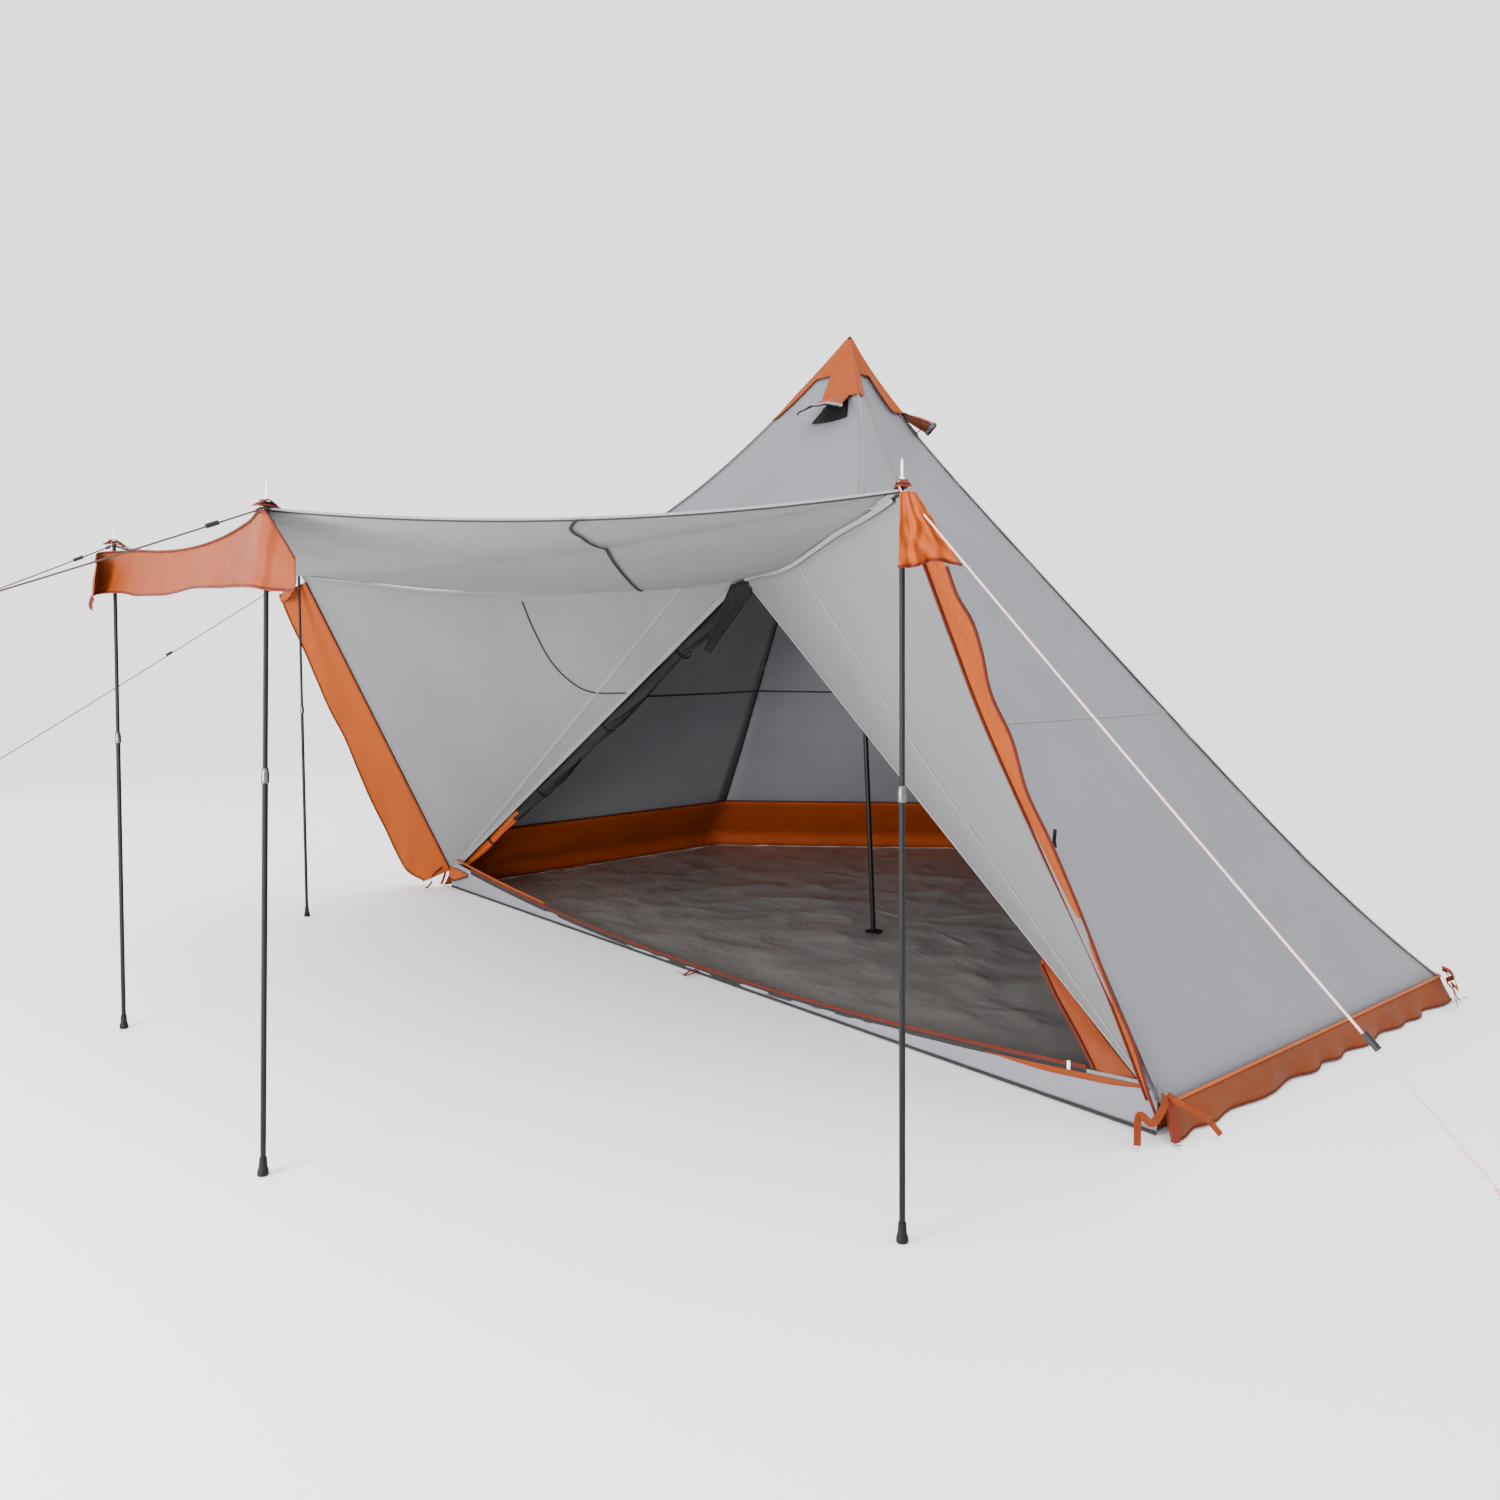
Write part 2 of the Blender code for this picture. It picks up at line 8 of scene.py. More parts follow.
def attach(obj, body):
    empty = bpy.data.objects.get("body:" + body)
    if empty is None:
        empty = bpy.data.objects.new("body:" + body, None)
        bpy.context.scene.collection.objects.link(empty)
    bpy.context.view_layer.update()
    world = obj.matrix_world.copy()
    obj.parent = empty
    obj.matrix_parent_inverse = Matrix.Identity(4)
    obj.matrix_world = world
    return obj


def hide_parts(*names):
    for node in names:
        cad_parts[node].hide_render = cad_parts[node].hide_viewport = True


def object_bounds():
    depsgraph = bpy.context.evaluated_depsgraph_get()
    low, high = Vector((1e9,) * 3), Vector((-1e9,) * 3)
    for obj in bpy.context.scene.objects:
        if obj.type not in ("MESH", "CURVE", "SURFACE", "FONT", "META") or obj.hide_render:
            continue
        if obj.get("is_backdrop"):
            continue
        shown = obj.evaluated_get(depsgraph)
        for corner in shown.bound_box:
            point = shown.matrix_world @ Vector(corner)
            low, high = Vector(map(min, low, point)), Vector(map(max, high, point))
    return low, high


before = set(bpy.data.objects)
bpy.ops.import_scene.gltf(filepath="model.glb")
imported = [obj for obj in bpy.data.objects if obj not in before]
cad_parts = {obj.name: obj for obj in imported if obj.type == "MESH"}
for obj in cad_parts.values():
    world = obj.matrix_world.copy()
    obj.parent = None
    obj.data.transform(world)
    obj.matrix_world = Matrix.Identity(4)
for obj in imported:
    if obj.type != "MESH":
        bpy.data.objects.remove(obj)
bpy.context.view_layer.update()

# ---------------------------------------------------------------- outline, as in the CAD
APEX = Vector((0.0, -0.11, 3.0))
DOOR_TOP = Vector((0.0, -0.80, 1.805))
SHOULDER = Vector((1.15, -1.47, 1.83))
SHOULDER_BEND = Vector((0.834, -0.729))
SHOULDER_POWER = 1.926
HEM = 0.10
SAG = 0.115
CANOPY = 1.87
CORNERS = {
    "right_front": Vector((2.37, -1.15, HEM)),
    "right_side": Vector((2.43, 0.98, HEM)),
    "right_back": Vector((1.0, 2.40, HEM)),
    "left_back": Vector((-1.0, 2.40, HEM)),
    "left_side": Vector((-2.43, 0.98, HEM)),
    "left_front": Vector((-2.37, -1.15, HEM)),
}
AROUND = list(CORNERS)
POLES = {
    "right_outer": ((2.255, -2.210), (2.237, -2.226)),
    "right_front": ((0.820, -3.310), (0.846, -3.235)),
    "left_front": ((-0.818, -3.307), (-0.807, -3.255)),
    "left_outer": ((-2.195, -2.097), (-2.188, -2.075)),
}
GUYS = {
    "right_outer": (1.32, (1.0, 0.0), 0.959),
    "right_front": (0.74, (-0.048, -0.9988), 0.386),
    "left_front": (0.50, (-0.139, -0.990), 0.460),
    "left_outer": (1.55, (-0.259, -0.966), 0.668),
}
SIDES = (("right", 1), ("left", -1))
UP = Vector((0, 0, 1))
CLOTH, TRIM = 0.0012, 0.0014


def ridge(name, t):
    foot = CORNERS[name]
    inward = Vector((APEX.x - foot.x, APEX.y - foot.y, 0.0)).normalized()
    return APEX.lerp(foot, t) + inward * SAG * (1 - abs(2 * t - 1) ** 5)


def shoulder(side, t):
    flat = APEX.xy * (1 - t) ** 2 + SHOULDER_BEND * 2 * t * (1 - t) + SHOULDER.xy * t**2
    z = SHOULDER.z + (APEX.z - SHOULDER.z) * (1 - t) ** SHOULDER_POWER
    return Vector((side * flat.x, flat.y, z))


def front_line(t):
    at = shoulder(1, t)
    return Vector((0.0, at.y, at.z)) + (DOOR_TOP - Vector((0.0, SHOULDER.y, SHOULDER.z))) * t**3


def outward(name):
    foot = CORNERS[name]
    return Vector((foot.x, foot.y, 0.0)).normalized()


def smooth(x):
    x = min(max(x, 0.0), 1.0)
    return x * x * (3 - 2 * x)


# ---------------------------------------------------------------- camera
camera_data = bpy.data.cameras.new("camera")
camera_data.lens = 27.46
camera_data.sensor_width = 36.0
camera = bpy.data.objects.new("camera", camera_data)
camera.location = (4.09, -4.311, 1.515)
camera.rotation_euler = (math.radians(90 - 5.47), 0.0, math.radians(49.07))
bpy.context.scene.collection.objects.link(camera)
bpy.context.scene.camera = camera


# ---------------------------------------------------------------- materials
def material(name):
    made = bpy.data.materials.new(name)
    made.use_nodes = True
    return made, made.node_tree.nodes, made.node_tree.links, made.node_tree.nodes["Principled BSDF"]


def add(nodes, kind, **values):
    node = nodes.new(kind)
    for key, value in values.items():
        if key in node.inputs:
            node.inputs[key].default_value = value
        else:
            setattr(node, key, value)
    return node


def ramp(nodes, stops):
    node = nodes.new("ShaderNodeValToRGB")
    elements = node.color_ramp.elements
    elements[0].position, elements[0].color = stops[0][0], (*stops[0][1], 1.0)
    elements[1].position, elements[1].color = stops[-1][0], (*stops[-1][1], 1.0)
    for place, colour in stops[1:-1]:
        elements.new(place).color = (*colour, 1.0)
    return node


def shade(colour, factor):
    return tuple(min(1.0, c * factor) for c in colour)


def fabric(name, colour, spread=0.10, crease=0.5, weave=0.25, roughness=0.62, sheen=0.25,
           crease_scale=3.0, specular=0.35, fine=26.0, streak=(1.0, 1.0, 0.35)):
    """Woven coated cloth: weave, soft creases, fine puckers and a slow drift of colour."""
    made, nodes, links, shader = material(name)
    place = add(nodes, "ShaderNodeTexCoord")
    stretch = add(nodes, "ShaderNodeMapping")
    stretch.inputs["Scale"].default_value = streak
    links.new(place.outputs["Object"], stretch.inputs["Vector"])
    broad = add(nodes, "ShaderNodeTexNoise", Scale=crease_scale, Detail=3.0, Roughness=0.5, Distortion=0.4)
    links.new(stretch.outputs["Vector"], broad.inputs["Vector"])
    small = add(nodes, "ShaderNodeTexNoise", Scale=fine, Detail=5.0, Roughness=0.6)
    links.new(stretch.outputs["Vector"], small.inputs["Vector"])
    both = add(nodes, "ShaderNodeMath", operation="MULTIPLY_ADD")
    both.inputs[1].default_value = 0.18
    links.new(small.outputs["Fac"], both.inputs[0])
    links.new(broad.outputs["Fac"], both.inputs[2])
    stops = [(0.30, shade(colour, 1 - spread)), (0.55, colour), (0.85, shade(colour, 1 + spread))]
    colours = ramp(nodes, stops)
    links.new(both.outputs[0], colours.inputs["Fac"])
    links.new(colours.outputs["Color"], shader.inputs["Base Color"])
    warp = add(nodes, "ShaderNodeTexWave", Scale=260.0, Distortion=0.6, bands_direction="DIAGONAL")
    links.new(place.outputs["Object"], warp.inputs["Vector"])
    weft = add(nodes, "ShaderNodeTexWave", Scale=260.0, Distortion=0.6, bands_direction="Z")
    links.new(place.outputs["Object"], weft.inputs["Vector"])
    cross = add(nodes, "ShaderNodeMath", operation="MULTIPLY")
    links.new(warp.outputs["Fac"], cross.inputs[0])
    links.new(weft.outputs["Fac"], cross.inputs[1])
    creases = add(nodes, "ShaderNodeBump", Strength=crease, Distance=0.02)
    links.new(both.outputs[0], creases.inputs["Height"])
    threads = add(nodes, "ShaderNodeBump", Strength=weave, Distance=0.0006)
    links.new(cross.outputs[0], threads.inputs["Height"])
    links.new(creases.outputs["Normal"], threads.inputs["Normal"])
    links.new(threads.outputs["Normal"], shader.inputs["Normal"])
    rough = ramp(nodes, [(0.2, (roughness - 0.08,) * 3), (0.8, (roughness + 0.10,) * 3)])
    links.new(small.outputs["Fac"], rough.inputs["Fac"])
    links.new(rough.outputs["Color"], shader.inputs["Roughness"])
    shader.inputs["Sheen Weight"].default_value = sheen
    shader.inputs["Specular IOR Level"].default_value = specular
    return made


def metal(name, colour, roughness, metallic, specular=0.5):
    made, nodes, links, shader = material(name)
    place = add(nodes, "ShaderNodeTexCoord")
    grain = add(nodes, "ShaderNodeTexNoise", Scale=60.0, Detail=6.0, Roughness=0.6)
    links.new(place.outputs["Object"], grain.inputs["Vector"])
    colours = ramp(nodes, [(0.3, shade(colour, 0.8)), (0.75, shade(colour, 1.15))])
    links.new(grain.outputs["Fac"], colours.inputs["Fac"])
    links.new(colours.outputs["Color"], shader.inputs["Base Color"])
    rough = ramp(nodes, [(0.3, (roughness * 0.85,) * 3), (0.8, (roughness * 1.25,) * 3)])
    links.new(grain.outputs["Fac"], rough.inputs["Fac"])
    links.new(rough.outputs["Color"], shader.inputs["Roughness"])
    bump = add(nodes, "ShaderNodeBump", Strength=0.08, Distance=0.0005)
    links.new(grain.outputs["Fac"], bump.inputs["Height"])
    links.new(bump.outputs["Normal"], shader.inputs["Normal"])
    shader.inputs["Metallic"].default_value = metallic
    shader.inputs["Specular IOR Level"].default_value = specular
    return made


def matte(name, colour, specular=0.2, **options):
    return fabric(name, colour, sheen=0.0, specular=specular, **options)


GREY = fabric("grey_cloth", (0.158, 0.160, 0.180), spread=0.07, crease=0.34, sheen=0.08)
# The same grey cloth made darker for the awning's roof and wings: painted shade on their undersides and inner
# faces.
GREY_PAINTED_SHADE = fabric("grey_cloth_painted_shade", (0.126, 0.128, 0.133), spread=0.07, crease=0.30, sheen=0.05)
SEAM = fabric("seam_tape", (0.148, 0.146, 0.160), spread=0.08, crease=0.2, fine=60.0)
# Dark tape for the zip, hems and cords; on the inner ring seam, the left wing's seam and the roof's line it is
# painted shade, the dark a seam shows with light behind it.
DARK_TAPE_AND_SEAM_SHADE = matte("dark_tape_and_seam_shade", (0.022, 0.020, 0.021), 0.1, crease=0.2, fine=60.0)
ORANGE = matte("orange_cloth", (0.240, 0.040, 0.0001), spread=0.12, crease=0.45)
ORANGE_DEEP = matte("orange_lining", (0.22, 0.032, 0.0003), spread=0.15, crease=0.4)
VALANCE_CLOTH = matte("valance_cloth", (0.150, 0.0235, 0.0004), spread=0.15)
SKIRT_CLOTH = matte("skirt_cloth", (0.135, 0.0245, 0.0004), spread=0.2)
PIPING = matte("orange_piping", (0.34, 0.072, 0.012), spread=0.12, crease=0.3, fine=80.0, roughness=0.7)
DARK_PIPING = matte("dark_piping", (0.075, 0.010, 0.004), 0.15, spread=0.15, crease=0.3, fine=80.0)
FLOOR = matte("floor_cloth", (0.185, 0.172, 0.160), 0.55, spread=0.20, crease=1.0, roughness=0.33,
              crease_scale=2.2, fine=11.0, streak=(1.0, 1.3, 1.0))
MESH = matte("insect_mesh", (0.010, 0.010, 0.0105), 0.12, spread=0.3, fine=140.0, roughness=0.8)
BLACK_CLOTH = matte("black_webbing", (0.008, 0.0075, 0.008), 0.1, spread=0.3, crease=0.4, fine=90.0,
                    roughness=0.6)
RED_WEB = matte("red_webbing", (0.13, 0.014, 0.008), 0.15, spread=0.2, crease=0.4, fine=120.0)
CORD = matte("guy_cord", (0.040, 0.024, 0.026), 0.35, spread=0.3, crease=0.3, fine=300.0, roughness=0.75)
PALE_CORD = fabric("pale_cord", (0.62, 0.38, 0.38), crease=0.3, fine=300.0, roughness=0.75)
STEEL_BLACK = metal("black_powder_coat", (0.004, 0.004, 0.0045), 0.42, 0.0, specular=0.16)
STEEL = metal("bright_steel", (0.66, 0.66, 0.68), 0.28, 1.0)
RUBBER = metal("black_rubber", (0.007, 0.007, 0.007), 0.62, 0.0, specular=0.12)
PLASTIC = metal("black_plastic", (0.010, 0.010, 0.011), 0.42, 0.0, specular=0.2)
COLLAR = metal("dark_collar", (0.12, 0.12, 0.125), 0.35, 1.0)
WHITE = metal("white_plastic", (0.80, 0.80, 0.79), 0.35, 0.0)

POLE_UPPER, nodes, links, shader = material("black_tube_and_bright_spike")
place = add(nodes, "ShaderNodeTexCoord")
split = add(nodes, "ShaderNodeSeparateXYZ")
links.new(place.outputs["Generated"], split.inputs["Vector"])
grain = add(nodes, "ShaderNodeTexNoise", Scale=60.0, Detail=6.0)
links.new(place.outputs["Object"], grain.inputs["Vector"])
sum_node = add(nodes, "ShaderNodeMath", operation="MULTIPLY_ADD")
sum_node.inputs[1].default_value = 0.004
links.new(grain.outputs["Fac"], sum_node.inputs[0])
links.new(split.outputs["Z"], sum_node.inputs[2])
tube_stops = [(0.0, (0.004, 0.004, 0.0045)), (0.930, (0.005, 0.005, 0.0055)), (0.936, (0.75, 0.73, 0.78))]
tube_to_spike = ramp(nodes, tube_stops)
links.new(sum_node.outputs[0], tube_to_spike.inputs["Fac"])
links.new(tube_to_spike.outputs["Color"], shader.inputs["Base Color"])
shader.inputs["Roughness"].default_value = 0.42
shader.inputs["Specular IOR Level"].default_value = 0.16

NODE_MATERIALS = {
    "awning_pole_upper": POLE_UPPER,
    "awning_pole": STEEL_BLACK, "centre_pole_foot": RUBBER, "centre_pole": STEEL_BLACK,
    "guy_ring": STEEL, "guy_runner": PLASTIC, "vent_prop": PLASTIC, "peg": STEEL, "zip_slider": WHITE,
}
for node_name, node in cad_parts.items():
    for key, look in NODE_MATERIALS.items():
        if node_name.startswith(key):
            node.data.materials.clear()
            node.data.materials.append(look)
            break


# ---------------------------------------------------------------- pieces
def piece(name, points, faces, look, body="tent", slot=None, thickness=0.0, offset=0.0):
    data = bpy.data.meshes.new(name)
    data.from_pydata([tuple(p) for p in points], [], faces)
    data.materials.append(look)
    data.shade_smooth()
    made = bpy.data.objects.new(name, data)
    bpy.context.scene.collection.objects.link(made)
    if thickness:
        solid = made.modifiers.new("Solidify", "SOLIDIFY")
        solid.thickness = thickness
        solid.offset = offset
    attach(made, body)
    return made


def quads(count, width, closed):
    """Four-sided faces between neighbouring rows of points."""
    faces = []
    for r in range(count - 1):
        for c in range(width if closed else width - 1):
            d = (c + 1) % width
            faces.append((r * width + c, r * width + d, (r + 1) * width + d, (r + 1) * width + c))
    return faces


def lofted(name, rows, look, closed=False, **options):
    faces = quads(len(rows), len(rows[0]), closed)
    return piece(name, [p for row in rows for p in row], faces, look, **options)


def area_of(rows):
    total = 0.0
    for r in range(len(rows) - 1):
        for c in range(len(rows[0]) - 1):
            a, b, d, e = rows[r][c], rows[r][c + 1], rows[r + 1][c], rows[r + 1][c + 1]
            total += ((b - a).cross(d - a)).length / 2 + ((b - e).cross(d - e)).length / 2
    return total


WAITING, SEWN_ON = [], {}


def sewn(piece_name, *made):
    SEWN_ON.setdefault(piece_name, []).extend(made)


def declare(made, rows, width, length, held="stretched"):
    """Keeps a sheet in a list, with its size and how it is held. Its cut area is the area of these rows.

    The width is widened or narrowed until that area is between half and all of width by length.
    """
    area = area_of(rows)
    if area > width * length:
        width *= min(2.0, area * 1.002 / (width * length))
    if area < 0.5 * width * length:
        width = area / (0.5 * length)
    WAITING.append((made, (width, length), held, area))


def sway(point, scale, seed=0.0):
    """Smooth noise, about -1 to 1."""
    x, y, z = (value * scale for value in point)
    return noise.noise(Vector((x + seed, y - seed, z + 2 * seed)))


def sweep(name, points, profile, look, up=UP, **options):
    """A closed cross-section (across, out) carried along a path. up is one direction, or a list of them."""
    points = [Vector(p) for p in points]
    rings = []
    side_before = None
    for i, point in enumerate(points):
        ahead = points[min(i + 1, len(points) - 1)] - points[max(i - 1, 0)]
        ahead.normalize()
        side = ahead.cross(up[i] if isinstance(up, list) else up)
        if side.length < 1e-4:
            side = side_before or ahead.orthogonal()
        side.normalize()
        side_before = side
        out = side.cross(ahead).normalized()
        rings.append([point + side * a + out * b for a, b in profile])
    count = len(profile)
    faces = quads(len(rings), count, True)
    faces.append(tuple(range(count - 1, -1, -1)))
    faces.append(tuple((len(rings) - 1) * count + c for c in range(count)))
    made = piece(name, [p for ring in rings for p in ring], faces, look, **options)
    made.data.set_sharp_from_angle(angle=math.radians(50))
    return made


def round_profile(radius, count=8, flat=1.0):
    return [(radius * math.cos(2 * math.pi * i / count), radius * flat * math.sin(2 * math.pi * i / count))
            for i in range(count)]


def tape_profile(width, thickness=0.0016):
    """A sewn tape: flat, with a raised row of stitching along both edges."""
    w, t = width / 2, thickness
    return [(-w, -t / 2), (w, -t / 2), (w, t / 2), (w * 0.72, t), (w * 0.5, t * 0.6),
            (-w * 0.5, t * 0.6), (-w * 0.72, t), (-w, t / 2)]


def face_normal(a, b, c):
    return (b - a).cross(c - a).normalized()


def facing(normal, way):
    return -normal if normal.dot(way) < 0 else normal


def level(direction):
    return Vector((direction.x, direction.y, 0.0))


def grid(down, across, at):
    """Rows of points: at(s, u), with s down the rows and u along each one, both from 0 to 1."""
    return [[at(i / down, j / across) for j in range(across + 1)] for i in range(down + 1)]


def between(first, second, steps, nudge):
    """Rows from one line to another, with each point moved by nudge(s, j)."""
    return [[a.lerp(b, i / steps) + nudge(i / steps, j) for j, (a, b) in enumerate(zip(first, second))]
            for i in range(steps + 1)]


def circle(centre, radius, count):
    turns = [2 * math.pi * k / count for k in range(count)]
    return [centre + Vector((radius * math.cos(turn), radius * math.sin(turn), 0)) for turn in turns]


def turned(name, profile, centre_at, look, count=20, **options):
    """A turned piece, with one ring for each (radius, height) of its profile."""
    rings = [circle(centre_at(z), radius, count) for radius, z in profile]
    return lofted(name, rings, look, closed=True, **options)


# ---------------------------------------------------------------- outer cloth
ROWS, COLUMNS = 44, 18
START = 0.004
ON_CREASE = Vector((0, 0.004, 0.003))


def pole_point(name, z):
    foot, top = POLES[name]
    return Vector((*foot, 0.0)).lerp(Vector((*top, 1.885)), z / 1.885)


def canopy(name, inset=0.014):
    top = pole_point(name, CANOPY)
    return top + (DOOR_TOP - top).normalized() * inset


C, B, A, D = (canopy(name) for name in ("right_outer", "right_front", "left_front", "left_outer"))
T = DOOR_TOP.copy()
SAG_TC, SAG_TD, SAG_CB, SAG_DA, SAG_BA = 0.035, 0.07, 0.043, 0.035, 0.055


def hung(start, end, s, sag, inward=None, bow=0.0):
    point = start.lerp(end, s)
    point.z -= 4 * sag * s * (1 - s)
    if inward is not None:
        point += inward * 4 * bow * s * (1 - s)
    return point


def crease(side, s):
    """The line where the roof meets the outer cloth, from the door's top to the outer corner."""
    end, sag = (C, SAG_TC) if side > 0 else (D, SAG_TD)
    point = hung(T, end, s, sag)
    if 0.0 < s < 1.0:
        point.z += 0.010 * math.sin(9 * s + side) * smooth(4 * s) * smooth(4 * (1 - s))
    return point


SEWN_AT = 0.518


def pucker(t, s, point, normal, seed):
    """Slack between the seams, and short puckers that run out from them."""
    deep = 0.004
    edge = min(s, 1 - s)
    belly = math.sin(math.pi * s) * math.sin(math.pi * min(1.0, t)) * deep * 1.5
    near = math.exp(-edge * 14) * sway((t * 22, s * 2, 0), 1.0, seed) * deep
    drift = sway(point, 1.6, seed) * deep * 1.3 * math.sin(math.pi * s)
    return point + normal * (drift + near - belly)


def wall(name, first, second, seed):
    """One face of the outer cloth, between two ridges."""
    rows = []
    for i in range(ROWS + 1):
        t = START + (1 - START) * i / ROWS
        a, b = first(t), second(t)
        normal = facing(face_normal(first(min(1, t + 0.02)), a, b), level((a + b) / 2 - APEX))
        rows.append([pucker(t, j / COLUMNS, a.lerp(b, j / COLUMNS), normal, seed) for j in range(COLUMNS + 1)])
    made = lofted(name, rows, GREY, slot="grey_fabric", thickness=CLOTH, offset=-1.0)
    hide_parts(name.replace("cloth_", "") + "_panel")
    declare(made, rows, (first(1) - second(1)).length * 1.02, (first(1) - APEX).length)

def ridge_of(name):
    return lambda t: ridge(name, t)


def shoulder_of(side):
    """The shoulder ridge, drawn on to the awning's crease at its lower end."""
    drawn = crease(side, SEWN_AT) + ON_CREASE - shoulder(side, 1)
    return lambda t: shoulder(side, t) + drawn * t**7


OWNERS = dict(zip(AROUND, ("cloth_right_side", "cloth_right_back", "cloth_back", "cloth_left_back",
                           "cloth_left_side", "cloth_left_front")))
for index, (a, b) in enumerate(zip(AROUND, AROUND[1:])):
    wall(OWNERS[a], ridge_of(b), ridge_of(a), seed=1.0 + index)
wall("cloth_right_front", ridge_of("right_front"), shoulder_of(1), seed=6.0)
wall("cloth_left_front", shoulder_of(-1), ridge_of("left_front"), seed=7.0)


def front_point(s, t):
    """A place on the front face: s is 1 on the right shoulder, 0 in the middle and -1 on the left."""
    end, mid = shoulder(1, t), front_line(t)
    part = abs(s) ** 1.35
    return Vector((end.x * s, mid.y + (end.y - mid.y) * part, mid.z + (end.z - mid.z) * part))


def hood_point(row, column):
    t, s = START + (1 - START) * row, 1 - 2 * column
    point = front_point(s, t)
    point.z += 0.004 * sway(point, 2.0, 8.0) * (1 - t**6)
    drawn = crease(1 if s >= 0 else -1, abs(s) * SEWN_AT) + ON_CREASE - front_point(s, 1)
    return point + drawn * t**7


rows = grid(ROWS, 2 * COLUMNS, hood_point)
hood_cloth = lofted("cloth_front_hood", rows, GREY, slot="grey_fabric", thickness=CLOTH, offset=-1.0)
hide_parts("front_hood")
declare(hood_cloth, rows, 2.35, 1.9)


# ---------------------------------------------------------------- awning
SPLIT = 0.60


def roof_edge(side, v):
    if v <= SPLIT:
        return crease(side, v / SPLIT)
    s = (v - SPLIT) / (1 - SPLIT)
    if side > 0:
        return hung(C, B, s, SAG_CB, Vector((-0.55, 0.83, 0)), 0.03)
    return hung(D, A, s, SAG_DA, Vector((0.55, 0.83, 0)), 0.03)


def roof_point(row, s):
    """Sag across the roof, folds that run in from its corners, and a slow drift."""
    v = START + (1 - START) * row
    point = roof_edge(-1, v).lerp(roof_edge(1, v), s)
    across = 4 * s * (1 - s)
    point.z -= 0.055 * across * math.sin(math.pi * min(1.0, v)) ** 0.8
    point.z -= SAG_BA * across * v**6
    point.y += 0.035 * across * v**6
    for corner, strength in ((C, 0.010), (D, 0.008), (B, 0.008), (A, 0.008)):
        offset = point - corner
        distance = offset.xy.length
        angle = math.atan2(offset.y, offset.x)
        fade = math.exp(-distance / 0.55) * smooth(distance / 0.12)
        point.z += strength * fade * math.sin(11 * angle + 2 * sway(point, 2.0))
    point.z += 0.006 * sway(point, 2.3, 3.0) * across
    return point


rows = grid(60, 56, roof_point)
ROOF_POINTS = [p for row in rows for p in row]
# the roof takes the darker grey, which is painted shade
roof = lofted("awning_roof_cloth", rows, GREY_PAINTED_SHADE, slot="grey_fabric", thickness=CLOTH, offset=1.0)
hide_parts("awning_roof")
declare(roof, rows, 4.5, 2.6)


def wing_parts(side):
    """A wing's foot, and the normal of its outer face."""
    foot, corner = (CORNERS["right_front"], C) if side > 0 else (CORNERS["left_front"], D)
    return foot, facing(face_normal(T, corner, foot), Vector((0, -1, 0)))


def wing_point(side, u, v, lift=0.0):
    """A place on a wing: u runs along the crease from the door's top, and v down to the foot."""
    foot, flat = wing_parts(side)
    point = crease(side, u).lerp(foot, v)
    taut = math.sin(math.pi * v) * math.sin(math.pi * u)
    point += flat * (0.014 * taut + 0.006 * sway(point, 1.9, 9.0 + side) * taut)
    point += flat * 0.003 * math.exp(-abs(u - 0.5) * 26) * sway((v * 16, side, 0), 1.0)
    return point - UP * 0.004 + flat * lift


# the wings take the darker grey, which is painted shade
for label, side in SIDES:
    rows = grid(40, 40, lambda row, u: wing_point(side, u, row * 0.996))
    wing = lofted(label + "_wing_cloth", rows, GREY_PAINTED_SHADE, slot="grey_fabric", thickness=CLOTH)
    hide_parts(label + "_wing")
    declare(wing, rows, 2.7, 2.6)
# ---------------------------------------------------------------- tapes, seams and hems
def through(points, count):
    """A smooth line through the points, in count steps."""
    points = [Vector(p) for p in points]
    padded = [2 * points[0] - points[1], *points, 2 * points[-1] - points[-2]]
    line = []
    for i in range(count + 1):
        u = i / count * (len(points) - 1)
        k = min(int(u), len(points) - 2)
        f = u - k
        a, b, c, d = padded[k:k + 4]
        line.append(0.5 * (2 * b + (c - a) * f + (2 * a - 5 * b + 4 * c - d) * f * f
                           + (3 * b - a - 3 * c + d) * f**3))
    return line


def tape(name, points, width, look, up, owner, slot="grey_fabric", thickness=0.0016):
    made = sweep(name, points, tape_profile(width, thickness), look, up=up, slot=slot)
    sewn(owner, made)
    return made


def piping(name, points, radius, look, owner, slot="orange_fabric"):
    made = sweep(name, points, round_profile(radius), look, slot=slot)
    sewn(owner, made)
    return made


for name in AROUND:
    slope = (outward(name) * 0.78 + UP * 0.62).normalized()
    for layer, (width, look, lift) in enumerate(((0.028, SEAM, 0.0022), (0.011, DARK_TAPE_AND_SEAM_SHADE, -0.0034))):
        line = [ridge(name, 0.05 + 0.947 * i / 60) + slope * lift for i in range(61)]
        facing_out = slope if layer == 0 else -slope
        tape("ridge_tape_%s_%d" % (name, layer), line, width, look, facing_out, OWNERS[name])

for label, side in SIDES:
    follow = shoulder_of(side)
    line, ups = [], []
    for i in range(51):
        t = 0.06 + 0.93 * i / 50
        at = follow(t)
        normal = face_normal(at, ridge(label + "_front", t), follow(min(1, t + 0.01)))
        ups.append(facing(normal, Vector((side * 0.4, -0.6, 0.6))))
        line.append(at + ups[-1] * 0.0022)
    tape("shoulder_tape_" + label, line, 0.022, SEAM, ups, "cloth_%s_front" % label)

